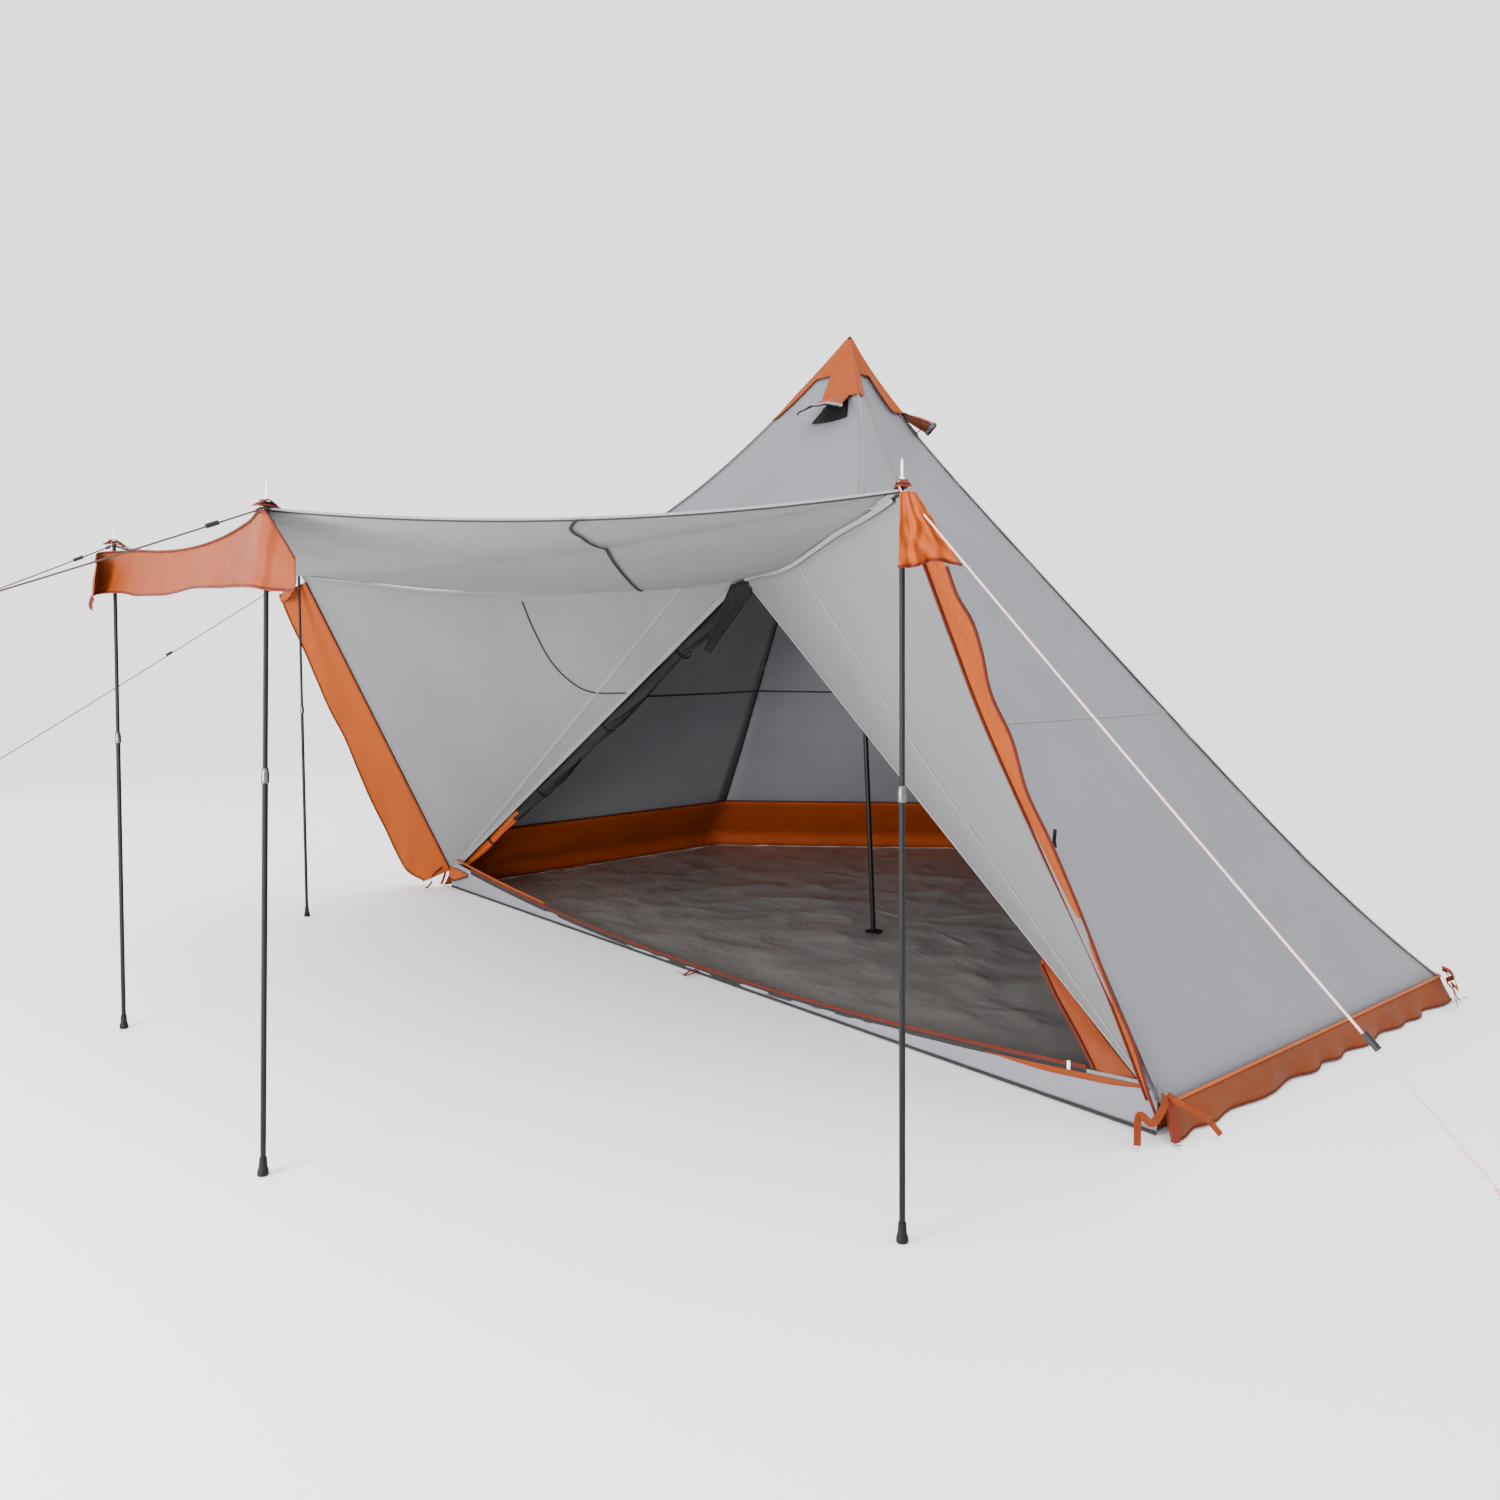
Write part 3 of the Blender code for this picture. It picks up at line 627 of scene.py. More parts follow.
# a seam right round the cone, outside and in; the inner copy is painted black, the shade the seam shows with
# light behind it
RING_T = 0.622
for index, (a, b) in enumerate(zip(AROUND, AROUND[1:])):
    first, second = ridge(a, RING_T), ridge(b, RING_T)
    normal = facing(face_normal(first, second, ridge(a, RING_T + 0.02)), level((first + second) / 2 - APEX))
    line = [pucker(RING_T, i / 40, first.lerp(second, i / 40), normal, 1.0 + index) for i in range(41)]
    tape("ring_seam_%d_0" % index, [p + normal * 0.0015 for p in line], 0.016, SEAM, normal, OWNERS[a])
    tape("ring_seam_%d_1" % index, [p - normal * 0.006 for p in line], 0.011, DARK_TAPE_AND_SEAM_SHADE, -normal, OWNERS[a])


# ---------------------------------------------------------------- guy lines
def wound(name, first, last, turns, side, rise, look):
    """Cord wound round the line, from one place on it to another."""
    points = []
    for i in range(41):
        turn = 2 * math.pi * turns * i / 40
        points.append(first.lerp(last, i / 40) + (side * math.cos(turn) + rise * math.sin(turn)) * 0.0042)
    return sweep(name, points, round_profile(0.0023), look, slot="guy_cord")


for name, (run, away, fall) in GUYS.items():
    direction = Vector((*away, -fall)).normalized()
    top = pole_point(name, 1.875)
    start = top + direction * 0.03
    total = run * math.sqrt(1 + fall * fall) - 0.03
    end = start + direction * total
    curve = bpy.data.curves.new("cord_" + name, "CURVE")
    curve.dimensions = "3D"
    curve.bevel_depth = 0.0025
    curve.bevel_resolution = 3
    curve.use_fill_caps = True
    spline = curve.splines.new("POLY")
    spline.points.add(60)
    for i in range(61):
        s = i / 60
        sag = Vector((0, 0, 0.010 * total * s * (1 - s) * 4 * 0.35))
        spline.points[i].co = (*(start + direction * total * s - sag), 1.0)
    look = PALE_CORD if name == "right_outer" else CORD
    curve.materials.append(look)
    line = bpy.data.objects.new("cord_" + name, curve)
    bpy.context.scene.collection.objects.link(line)
    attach(line, "tent")
    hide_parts("guy_line_" + name)
    side = direction.cross(UP).normalized()
    rise = side.cross(direction).normalized()
    loop = []
    for i in range(25):
        turn = 2 * math.pi * i / 24
        loop.append(top + direction * (0.012 - 0.020 * math.cos(turn)) + side * 0.011 * math.sin(turn)
                    + UP * 0.003 * math.sin(2 * turn))
    loop_made = sweep("cord_loop_" + name, loop, round_profile(0.0024), look, slot="guy_cord")
    knot = wound("cord_knot_" + name, start - direction * 0.018, start - direction * 0.004, 3, side, rise, look)
    low = end - UP * 0.0002
    tie = wound("cord_end_knot_" + name, low - direction * 0.005, low - direction * 0.027, 4, side, rise, look)
# ---------------------------------------------------------------- top cap and vents
def section(z):
    t = 1 - ((z - SHOULDER.z) / (APEX.z - SHOULDER.z)) ** (1 / SHOULDER_POWER)
    down = (APEX.z - z) / (APEX.z - HEM)
    return [shoulder(1, t), *(ridge(name, down) for name in AROUND), shoulder(-1, t)]


def on_cloth(azimuth, z):
    ray = Vector((math.cos(azimuth), math.sin(azimuth)))
    corners = section(z)
    best = None
    for start, end in zip(corners, corners[1:] + corners[:1]):
        edge = end.xy - start.xy
        turn = ray.cross(edge)
        if abs(turn) < 1e-9:
            continue
        distance = (start.xy - APEX.xy).cross(edge) / turn
        along = (start.xy - APEX.xy).cross(ray) / turn
        if distance > 0 and -0.02 <= along <= 1.02:
            best = distance if best is None else min(best, distance)
    return Vector((*(APEX.xy + ray * best), z))


VENTS = {"right_front": (-56.0, 2.66, 24.0), "right_back": (34.0, 2.61, 24.0),
         "left_back": (124.0, 2.61, 24.0), "left_side": (-174.0, 2.61, 34.0)}
HOOD_LENGTH, HOOD_ANGLE, HOOD_LIFT = 0.16, math.radians(30), 0.010


def cap_reach(azimuth):
    """How far down the cap comes: over each vent it ends at the hood's hinge."""
    low = 2.80
    for name, (middle, height, half) in VENTS.items():
        off = abs((azimuth - middle + 180) % 360 - 180)
        if off < half:
            low = min(low, height + 0.003)
        elif off < half + 9:
            part = smooth((off - half) / 9)
            low = min(low, height + 0.003 + (2.80 - height - 0.003) * part)
    return low


CAP_COLUMNS, CAP_ROWS = 180, 26
CAP_TOP = 2.988
rows = []
for i in range(CAP_ROWS + 1):
    part = i / CAP_ROWS
    row = []
    for j in range(CAP_COLUMNS):
        azimuth = 360 * j / CAP_COLUMNS - 180
        turn = math.radians(azimuth)
        z = CAP_TOP - (CAP_TOP - cap_reach(azimuth)) * part**0.9
        point = on_cloth(turn, z)
        ripple = 0.003 * math.sin(turn * 17 + 2 * sway((azimuth * 0.03, z * 4, 0), 1.0)) * part
        row.append(point + level(point - APEX).normalized() * (0.013 + 0.002 * part + ripple) + UP * 0.008)
    rows.append(row)
cap = lofted("cap_cloth", rows, ORANGE, closed=True, slot="orange_fabric", thickness=CLOTH)
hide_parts("top_cap")
declare(cap, rows, 1.0, 0.55)
piping("cap_hem", [p - UP * 0.002 for p in rows[-1] + rows[-1][:1]], 0.0026, ORANGE_DEEP, "cap_cloth")
CAP_TIP = ((0.022, 2.972), (0.019, 2.985), (0.015, 2.998), (0.010, 3.008), (0.004, 3.014))
sewn("cap_cloth", turned("cap_tip", CAP_TIP, lambda z: Vector((APEX.x, APEX.y, z)), DARK_PIPING,
                         slot="orange_fabric", thickness=0.002))

for name, (middle, height, half) in VENTS.items():
    azimuth = math.radians(middle)
    here = on_cloth(azimuth, height)
    sideways = level(on_cloth(azimuth + 0.02, height) - on_cloth(azimuth - 0.02, height)).normalized()
    out = facing(sideways.cross(here - on_cloth(azimuth, height - 0.1)).normalized(), level(here - APEX))
    up = facing(out.cross(sideways).normalized(), UP)
    hinge = here + out * HOOD_LIFT
    along = (-up * math.cos(HOOD_ANGLE) + out * math.sin(HOOD_ANGLE)).normalized()
    face = facing(along.cross(sideways).normalized(), out)
    body = "vent_hood_" + name

    def flap_point(s, u):
        a = 2 * u - 1
        width = 0.075 + 0.065 * s
        arch = (1 - a * a) * 0.016 * smooth(s * 1.6) - 0.010 * abs(a) ** 2.2 * s
        arch += 0.006 + 0.0025 * math.sin(9 * a + 3 * s) * s
        return hinge + along * (HOOD_LENGTH * s * (1 - 0.10 * a * a)) + sideways * a * width + face * arch

    def screen_point(s, u):
        a = 2 * u - 1
        drop = (0.012 + 0.125 * s) * (1 - 0.08 * a * a)
        return here - up * drop + sideways * (0.06 + 0.055 * s) * a + out * (0.003 - 0.003 * a * a * s)

    rows = grid(14, 28, flap_point)
    hood = lofted("vent_cloth_" + name, rows, ORANGE, body=body, slot="orange_fabric", thickness=TRIM)
    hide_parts("vent_hood_" + name)
    declare(hood, rows, 0.30, 0.17)
    lip = sweep("vent_lip_" + name, [p + along * 0.003 for p in rows[-1]], tape_profile(0.024, 0.004), SEAM,
                up=face, body=body, slot="grey_fabric")
    under = sweep("vent_lip_binding_" + name, [p + along * 0.014 - face * 0.004 for p in rows[-1]],
                  round_profile(0.0035), BLACK_CLOTH, body=body, slot="mesh_fabric")
    sewn(hood.name, lip, under)
    for end, corner in enumerate((rows[-1][0], rows[-1][-1])):
        outside = sideways * (2 * end - 1)
        line = [corner, corner + outside * 0.004 - up * 0.005, corner + outside * 0.007 - up * 0.014]
        sewn(hood.name, sweep("vent_tab_%s_%d" % (name, end), line, tape_profile(0.016, 0.002), SEAM, up=face,
                              body=body, slot="grey_fabric"))
    rows = grid(10, 16, screen_point)
    screen = lofted("vent_mesh_" + name, rows, MESH, slot="mesh_fabric", thickness=0.0008)
    declare(screen, rows, 0.24, 0.14)
    border = [r[0] for r in rows] + rows[-1][1:-1] + [r[-1] for r in reversed(rows)]
    edge = sweep("vent_edge_" + name, [p + out * 0.0008 for p in border], tape_profile(0.010, 0.0010),
                 BLACK_CLOTH, up=out, slot="mesh_fabric")
    sewn(screen.name, edge)

# ---------------------------------------------------------------- valance
def roof_front(s):
    point = A.lerp(B, s)
    across = 4 * s * (1 - s)
    point.z -= SAG_BA * across
    point.y += 0.035 * across
    return point


# (upper edge, lower edge) at the ends, and the lower edge's height between them
LEFT_END = [((-0.700, -3.338, 1.800), (-0.705, -3.355, 1.668)),
            ((-0.770, -3.322, 1.822), (-0.735, -3.350, 1.662)),
            ((-0.850, -3.292, 1.846), (-0.812, -3.318, 1.690))]
RIGHT_END = [((0.873, -3.252, 1.863), (0.850, -3.272, 1.660)), ((0.910, -3.222, 1.800), (0.890, -3.240, 1.652)),
             ((0.944, -3.198, 1.735), (0.945, -3.196, 1.648))]
LOW_EDGE = (1.691, 1.676, 1.672, 1.669, 1.674, 1.681, 1.677, 1.671, 1.668)
path = list(LEFT_END)
for k, low in enumerate(LOW_EDGE, 1):
    top = roof_front(k / 10) + Vector((0, -0.014, 0.001 - 0.008 * (k == 1)))
    path.append((top, (top.x + 0.01, top.y - 0.035, low)))
path += RIGHT_END


def valance_nudge(s, j):
    wave = math.sin(j * 0.16 + 2.6 * sway((j * 0.03, 0, s), 1.0)) * 0.007 * s
    fold = sway((j * 0.06, s * 1.4, 4.0), 1.0, 3.0) * 0.020 * s
    return Vector((0, -abs(wave) - abs(fold) * 0.6, 0))


rows = between(*(through(edge, 140) for edge in zip(*path)), 14, valance_nudge)
valance = lofted("valance_cloth", rows, VALANCE_CLOTH, slot="orange_fabric", thickness=TRIM)
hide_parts("awning_valance")
declare(valance, rows, 0.24, 2.05, held="hung")
piping("valance_hem", rows[-1], 0.0042, DARK_PIPING, "valance_cloth")
piping("valance_top_hem", [p + Vector((0, -0.003, 0)) for p in rows[0]], 0.0036, DARK_PIPING, "valance_cloth")
tail = through([(-0.705, -3.357, 1.672), (-0.712, -3.362, 1.655), (-0.702, -3.366, 1.640),
                (-0.716, -3.362, 1.628)], 12)
tape("valance_tail", tail, 0.016, DARK_PIPING, Vector((0.7, -0.7, 0)), "valance_cloth", slot="orange_fabric")

# the roof's side hems, and a dark cord under each
for label, side in SIDES:
    line = [roof_edge(side, SPLIT + (1 - SPLIT) * i / 40) for i in range(41)]
    tape("roof_hem_" + label, [p + UP * 0.001 for p in line], 0.024, SEAM, UP, "awning_roof_cloth",
         thickness=0.004)
    piping("roof_cord_" + label, [p + Vector((0, -0.003, -0.002)) for p in line], 0.0036, DARK_TAPE_AND_SEAM_SHADE,
           "awning_roof_cloth", slot="grey_fabric")
def under_roof(x, y, drop=0.0055):
    """The roof's height there, read from the nearest points of its rows."""
    near = sorted(ROOF_POINTS, key=lambda p: (p.x - x) ** 2 + (p.y - y) ** 2)[:6]
    weights = [1 / ((p.x - x) ** 2 + (p.y - y) ** 2 + 1e-5) for p in near]
    return Vector((x, y, sum(p.z * w for p, w in zip(near, weights)) / sum(weights) - drop))


# A thin dark line across the roof's underside: painted shade, laid as a dark tape.
ROOF_SHADE_LINE = ((1.560, -2.700), (1.400, -2.620), (1.300, -2.520), (1.180, -2.420), (0.920, -2.190),
              (0.584, -1.909), (0.050, -1.440), (-0.440, -1.060))
line = [under_roof(p.x, p.y) for p in through([(x, y, 0) for x, y in ROOF_SHADE_LINE], 60)]
tape("roof_shade_line", line, 0.010, DARK_TAPE_AND_SEAM_SHADE, -UP, "awning_roof_cloth")
for label, side in SIDES:
    line = [crease(side, 0.02 + 0.96 * i / 60) + Vector((0, -0.010, -0.010)) for i in range(61)]
    tape("crease_seam_" + label, line, 0.014, SEAM, Vector((side * 0.3, -1, -0.4)).normalized(),
         label + "_wing_cloth")

# ---------------------------------------------------------------- wing seams and hanging strips
for label, side in SIDES:
    flat = wing_parts(side)[1]
    owner = label + "_wing_cloth"
    seam_at = 0.5 if side > 0 else 0.12
    for which, sign in (("front", 1), ("behind", -1)):
        seam = [wing_point(side, seam_at, 0.01 + 0.95 * i / 40, 0.0022 * sign) for i in range(41)]
        tape("wing_seam_%s_%s" % (label, which), seam, 0.018, SEAM, flat * sign, owner)
        door_hem = [wing_point(side, 0.006, 0.01 + 0.97 * i / 40, 0.003 * sign) for i in range(41)]
        tape("wing_door_hem_%s_%s" % (label, which), door_hem, 0.024, SEAM, flat * sign, owner)
    if side < 0:
        # a seam across the left wing, painted black for the shade it shows with light behind it
        places = ((0.46, 0.03), (0.41, 0.114), (0.324, 0.215), (0.221, 0.284), (0.13, 0.315), (0.01, 0.325))
        across = through([wing_point(side, u, v, 0.006) for u, v in places], 40)
        tape("wing_cross_seam_shade_left", [p - flat * 0.0035 for p in across], 0.009, DARK_TAPE_AND_SEAM_SHADE, flat, owner)

# (inner edge, outer edge) of each strip; the left one's inner edge follows its wing instead
STRIPS = {
    "right": (((2.250, -2.160, 1.745), (2.222, -1.990, 1.520), (2.210, -1.830, 1.290),
               (2.236, -1.600, 0.930), (2.290, -1.360, 0.520), (2.345, -1.180, 0.130)),
              ((2.372, -2.205, 1.690), (2.352, -2.060, 1.520), (2.326, -1.900, 1.280),
               (2.330, -1.650, 0.900), (2.362, -1.400, 0.480), (2.388, -1.185, 0.070))),
    "left": (None,
             ((-2.330, -2.125, 1.770), (-2.400, -1.930, 1.340), (-2.470, -1.720, 0.900),
              (-2.560, -1.490, 0.420), (-2.600, -1.330, 0.110), (-2.545, -1.235, 0.030))),
}
for label, (inner, outer) in STRIPS.items():
    side = 1 if label == "right" else -1
    foot, flat = wing_parts(side)
    outer = through(outer, 90)
    if inner:
        inner = through(inner, 90)
    else:
        edge = [crease(side, 1).lerp(foot, 0.02 + 0.975 * i / 90) - UP * 0.004 for i in range(91)]
        inner = [p + (T - p).normalized() * 0.012 - flat * 0.008 for p in edge]
    rows = []
    for i, (a, b) in enumerate(zip(inner, outer)):
        row = []
        for j in range(11):
            s = j / 10
            wave = math.sin(i * 0.30 + 3 * sway((i * 0.05, s, 0), 1.0, side)) * 0.004 * smooth(s * 1.2)
            flutter = sway((i * 0.10, s * 2, 0), 1.0, 5.0) * 0.009 * s
            swell = 0.006 * sway((i * 0.09, 0, 2.0), 1.0)
            row.append(a.lerp(b, s) + flat * (0.012 + wave + flutter) + (b - a).normalized() * swell * s)
        rows.append(row)
    strip = lofted(label + "_strip_cloth", rows, ORANGE, slot="orange_fabric", thickness=TRIM)
    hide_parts(label + "_wing_skirt")
    declare(strip, rows, 0.18, 2.1, held="hung")
    piping("strip_outer_" + label, [row[-1] for row in rows], 0.0046, DARK_PIPING, strip.name)
    piping("strip_inner_" + label, [row[0] + flat * 0.004 for row in rows], 0.0050, DARK_PIPING, strip.name)

# the corner flaps that cover the wing's tie at each outer pole
def flap(label, top, low, way, depth):
    """A small gathered flap between two lines, with folds that deepen downwards."""
    def fold(s, j):
        wave = math.sin(j / 36 * 6 * math.pi + 4.0 * sway((j * 0.1, s * 3, 0), 1.0)) * depth * (0.2 + 0.4 * s)
        return way * (wave + sway((j * 0.16 + s, s * 4.5 - j * 0.05, 0), 1.0, 7.0) * 0.022 * s)

    rows = between(through(top, 36), through(low, 36), 16, fold)
    name = label + "_corner_flap"
    sewn(label + "_strip_cloth", lofted(name, rows, ORANGE, slot="orange_fabric", thickness=TRIM))
    piping(name + "_hem", rows[-1], 0.0036, DARK_PIPING, label + "_strip_cloth")


toward = Vector((0.755, -0.655, 0)).normalized()
flap("right", [(2.262, -2.262, 1.860), (2.270, -2.256, 1.862), (2.282, -2.246, 1.862), (2.292, -2.236, 1.858)],
     [(2.272, -2.276, 1.686), (2.300, -2.245, 1.690), (2.330, -2.210, 1.704), (2.372, -2.170, 1.690)],
     toward, 0.010)
flap("left",
     [(-2.235, -2.098, 1.856), (-2.215, -2.108, 1.858), (-2.192, -2.118, 1.858), (-2.170, -2.116, 1.852)],
     [(-2.340, -2.125, 1.752), (-2.290, -2.140, 1.728), (-2.240, -2.140, 1.722), (-2.190, -2.120, 1.745)],
     Vector((0.5, -0.866, 0)), 0.007)
tie = through([(2.290, -1.640, 0.998), (2.296, -1.650, 0.985), (2.292, -1.646, 0.968),
               (2.300, -1.652, 0.950)], 14)
tape("strip_tie_right", tie, 0.010, BLACK_CLOTH, toward, "right_strip_cloth", slot="orange_fabric")


# ---------------------------------------------------------------- corners: webbing, collars and feet
def bundle(label, top, direction):
    """Webbing folded over itself round the pole's tip."""
    for k in range(3):
        lift = 0.004 + 0.007 * k
        reach = direction * 0.045 * (1 - 0.2 * k)
        line = through([top - reach + UP * (lift - 0.010), top - reach * 0.4 + UP * lift,
                        top + reach * 0.25 + UP * (lift + 0.003),
                        top + reach * 0.8 + UP * (lift - 0.004 * k)], 20)
        tape("strap_%s_%d" % (label, k), line, 0.030 - 0.004 * k, BLACK_CLOTH if k == 1 else RED_WEB, UP,
             "awning_roof_cloth", thickness=0.003)


# (radius, height): the collar at the joint of each pole, its shoe, and the cap under its spike
POLE_JOINT = 1.14
COLLAR_SHAPE = ((0.0098, -0.018), (0.0105, -0.016), (0.0105, 0.010), (0.0092, 0.014), (0.0088, 0.022),
                (0.0074, 0.024))
SHOE_SHAPE = ((0.0150, 0.0015), (0.0160, 0.006), (0.0150, 0.016), (0.0118, 0.026), (0.0105, 0.050),
              (0.0092, 0.054))
TIP_SHAPE = ((0.0074, 1.888), (0.0098, 1.889), (0.0098, 1.893), (0.0050, 1.899), (0.0034, 1.905))
for name, corner in (("right_outer", C), ("right_front", B), ("left_front", A), ("left_outer", D)):
    top = pole_point(name, 1.873)
    inward = level(T - top).normalized()
    bundle(name, top, -inward)
    if name == "right_outer":
        for k, (look, width, drop) in enumerate(((SEAM, 0.050, 0.0050), (DARK_TAPE_AND_SEAM_SHADE, 0.020, 0.0078))):
            line = [corner + inward * (0.006 + 0.20 * i / 20) for i in range(21)]
            tape("corner_web_%s_%d" % (name, k), [under_roof(p.x, p.y, drop) for p in line], width, look, -UP,
                 "awning_roof_cloth", thickness=0.0018)
    turned("pole_collar_" + name, COLLAR_SHAPE, lambda z: pole_point(name, POLE_JOINT + z), COLLAR,
           slot="bright_steel", thickness=0.0008)
    turned("pole_shoe_" + name, SHOE_SHAPE, lambda z: pole_point(name, z), RUBBER, count=24,
           slot="black_plastic", thickness=0.0015, offset=-1.0)
    turned("pole_tip_cap_" + name, TIP_SHAPE, lambda z: pole_point(name, z), WHITE, count=16,
           slot="white_plastic", thickness=0.0006)

# ---------------------------------------------------------------- bottom of the tent
around, normals = [], []
for index, (a_name, b_name) in enumerate(zip(AROUND, AROUND[1:])):
    a, b = CORNERS[a_name], CORNERS[b_name]
    count = int((b - a).length / 0.022)
    for i in range(count if index < len(AROUND) - 2 else count + 1):
        around.append(a.lerp(b, i / count))
        normals.append(outward(a_name).lerp(outward(b_name), i / count).normalized())
rows = []
for i in range(9):
    s = i / 8
    row = []
    for j, (at, away) in enumerate(zip(around, normals)):
        wave = math.sin(j * 0.55 + 4 * sway((j * 0.04, 0, 0), 1.0)) * 0.010 * smooth(s)
        drift = sway((j * 0.11, s, 0), 1.0, 2.0) * 0.012 * smooth(s)
        z = 0.101 - 0.096 * s + (0.004 + 0.008 * max(0.0, sway((j * 0.10, 3.0, 0), 1.0))) * smooth(s)
        row.append(Vector((at.x, at.y, z)) + away * (0.004 + 0.040 * s + wave + drift))
    rows.append(row)
skirt = lofted("ground_skirt_cloth", rows, SKIRT_CLOTH, slot="orange_fabric", thickness=TRIM)
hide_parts("ground_skirt")
declare(skirt, rows, 0.12, 9.1, held="hung")
piping("ground_skirt_hem", rows[-1], 0.0034, DARK_PIPING, skirt.name)
piping("wall_hem_piping", [p + UP * 0.004 for p in rows[0]], 0.0055, PIPING, skirt.name)
for name in AROUND:
    away = outward(name)
    foot = CORNERS[name]
    start = foot + away * 0.010 + UP * 0.012
    peg_at = level(foot) + away * 0.072
    line = through([start + UP * 0.02, start + away * 0.020 + UP * 0.004,
                    peg_at - away * 0.004 + UP * 0.024, peg_at + away * 0.010 + UP * 0.012], 18)
    tape("peg_web_" + name, line, 0.022, RED_WEB, away, skirt.name, slot="orange_fabric", thickness=0.0026)
    for k, (turn, reach, width, fall) in enumerate(((1, 0.16, 0.020, 0.060), (-1, 0.13, 0.024, 0.012))):
        swing = Vector((-away.y, away.x, 0)) * turn
        tail = through([start + swing * 0.006 + UP * 0.03,
                        start + away * 0.034 + swing * 0.030 + UP * 0.010,
                        start + away * 0.052 + swing * reach * 0.62 - UP * 0.030,
                        start + away * 0.030 + swing * reach * 0.86 - UP * fall,
                        start + away * 0.052 + swing * reach - UP * 0.094], 26)
        tape("peg_tail_%s_%d" % (name, k), [Vector((p.x, p.y, max(p.z, 0.006))) for p in tail], width,
             VALANCE_CLOTH, (away + UP * 0.4).normalized(), skirt.name, slot="orange_fabric", thickness=0.0022)

# inner wall
WALL_LOW, WALL_TOP = 0.012, 0.38
rows = []
for i in range(13):
    z = WALL_LOW + (WALL_TOP - WALL_LOW) * i / 12
    down = (APEX.z - max(z, HEM)) / (APEX.z - HEM)
    billow = math.sin(math.pi * i / 12)
    row = []
    for index, (a_name, b_name) in enumerate(zip(AROUND, AROUND[1:])):
        a, b = (ridge(name, down) - outward(name) * 0.032 for name in (a_name, b_name))
        a.z = b.z = z
        for j in range(25 if index < len(AROUND) - 2 else 26):
            s = j / 25
            point = a.lerp(b, s)
            slack = 0.010 * math.sin(math.pi * s) + 0.006 * sway((point.x * 6, point.y * 6, z * 3), 1.0, 6.0)
            inward = level(Vector((0, 0.4, z)) - point).normalized()
            row.append(point + inward * (0.006 + slack * billow))
    rows.append(row)
band = lofted("inner_wall_cloth", rows, ORANGE_DEEP, slot="orange_fabric", thickness=CLOTH)
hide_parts("inner_wall")
declare(band, rows, 0.40, 9.0, held="hung")
piping("inner_wall_hem", [p + UP * 0.002 for p in rows[-1]], 0.005, DARK_PIPING, band.name)
# groundsheet
base = [CORNERS[name] - outward(name) * 0.036 for name in AROUND]
base[0] = Vector((2.335, -1.146, 0))
base[-1] = Vector((-2.335, -1.146, 0))
EDGE_STEPS, RADII = 44, 46
outline = [level(a.lerp(b, i / EDGE_STEPS)) for a, b in zip(base, base[1:] + base[:1])
           for i in range(EDGE_STEPS)]
middle = Vector((0.10, 0.35, 0.0))
rows = []
for i in range(RADII + 1):
    r = 0.01 + 0.99 * (i / RADII) ** 0.8
    row = []
    for edge in outline:
        point = middle.lerp(edge, r)
        x, y = point.xy
        flatten = smooth((point.xy - Vector((0.10, 0.0))).length / 0.16 - 0.4)
        fold = 1 - abs(sway((x * 1.5, y * 0.9, 0), 1.6, 4.0)) * 2.6
        lean = 1 - abs(sway((x * 2.0 + y, y * 2.0 - x, 0), 1.1, 14.0)) * 4.0
        wrinkle = 0.011 * max(0.0, fold) ** 2 + 0.005 * max(0.0, sway((x * 4, y * 3, 0), 1.5, 9.0))
        wrinkle += 0.007 * max(0.0, lean) ** 2
        point.z = 0.0036 + wrinkle * flatten * (1 - 0.8 * smooth((r - 0.97) * 33))
        row.append(point)
    rows.append(row)
groundsheet = lofted("groundsheet_cloth", rows, FLOOR, closed=True, slot="floor_fabric")
mesh = bmesh.new()
mesh.from_mesh(groundsheet.data)
mesh.verts.ensure_lookup_table()
mesh.faces.new([mesh.verts[k] for k in range(len(outline))])
bmesh.ops.recalc_face_normals(mesh, faces=mesh.faces)
mesh.to_mesh(groundsheet.data)
mesh.free()
groundsheet.data.shade_smooth()
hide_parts("groundsheet")
declare(groundsheet, rows, 4.8, 3.5, held="laid")

# ---------------------------------------------------------------- doorway sill and zip
def sill_height(x):
    if abs(x) <= 2.10:
        radius = (2.10**2 + 0.11**2) / (2 * 0.11)
        return 0.03 + radius - math.sqrt(radius**2 - x**2)
    return 0.14 + (abs(x) - 2.10) * 0.10


FRONT_Y = -1.15
ZIP_END = 2.09
OUT = Vector((0, -1, 0))
xs = [-2.352 + 4.704 * i / 150 for i in range(151)]


def sill_line(out, lift, wanted):
    return [Vector((x, FRONT_Y - out, sill_height(x) + lift)) for x in xs if wanted(x)]


rows = []
for i in range(9):
    s = i / 8
    row = []
    for x in xs:
        bulge = (0.004 * math.sin(math.pi * s) * (1 + sway((x * 5, s, 0), 1.0))
                 + 0.003 * sway((x * 9, 2, s), 1.0))
        row.append(Vector((x, FRONT_Y - bulge, 0.007 + (sill_height(x) - 0.007) * s)))
    rows.append(row)
sill = lofted("sill_cloth", rows, GREY, slot="grey_fabric", thickness=TRIM)
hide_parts("door_sill")
declare(sill, rows, 0.2, 4.72, held="hung")
tape("sill_hem", [Vector((x, FRONT_Y - 0.006, 0.010)) for x in xs], 0.012, DARK_TAPE_AND_SEAM_SHADE, OUT, sill.name)
for name, lift, width, look in (("zip_tape_low", -0.008, 0.022, DARK_TAPE_AND_SEAM_SHADE),
                                ("zip_tape_high", 0.008, 0.014, DARK_PIPING)):
    tape(name, sill_line(0.0035, lift, lambda x: abs(x) < 2.13), width, look, OUT, sill.name)
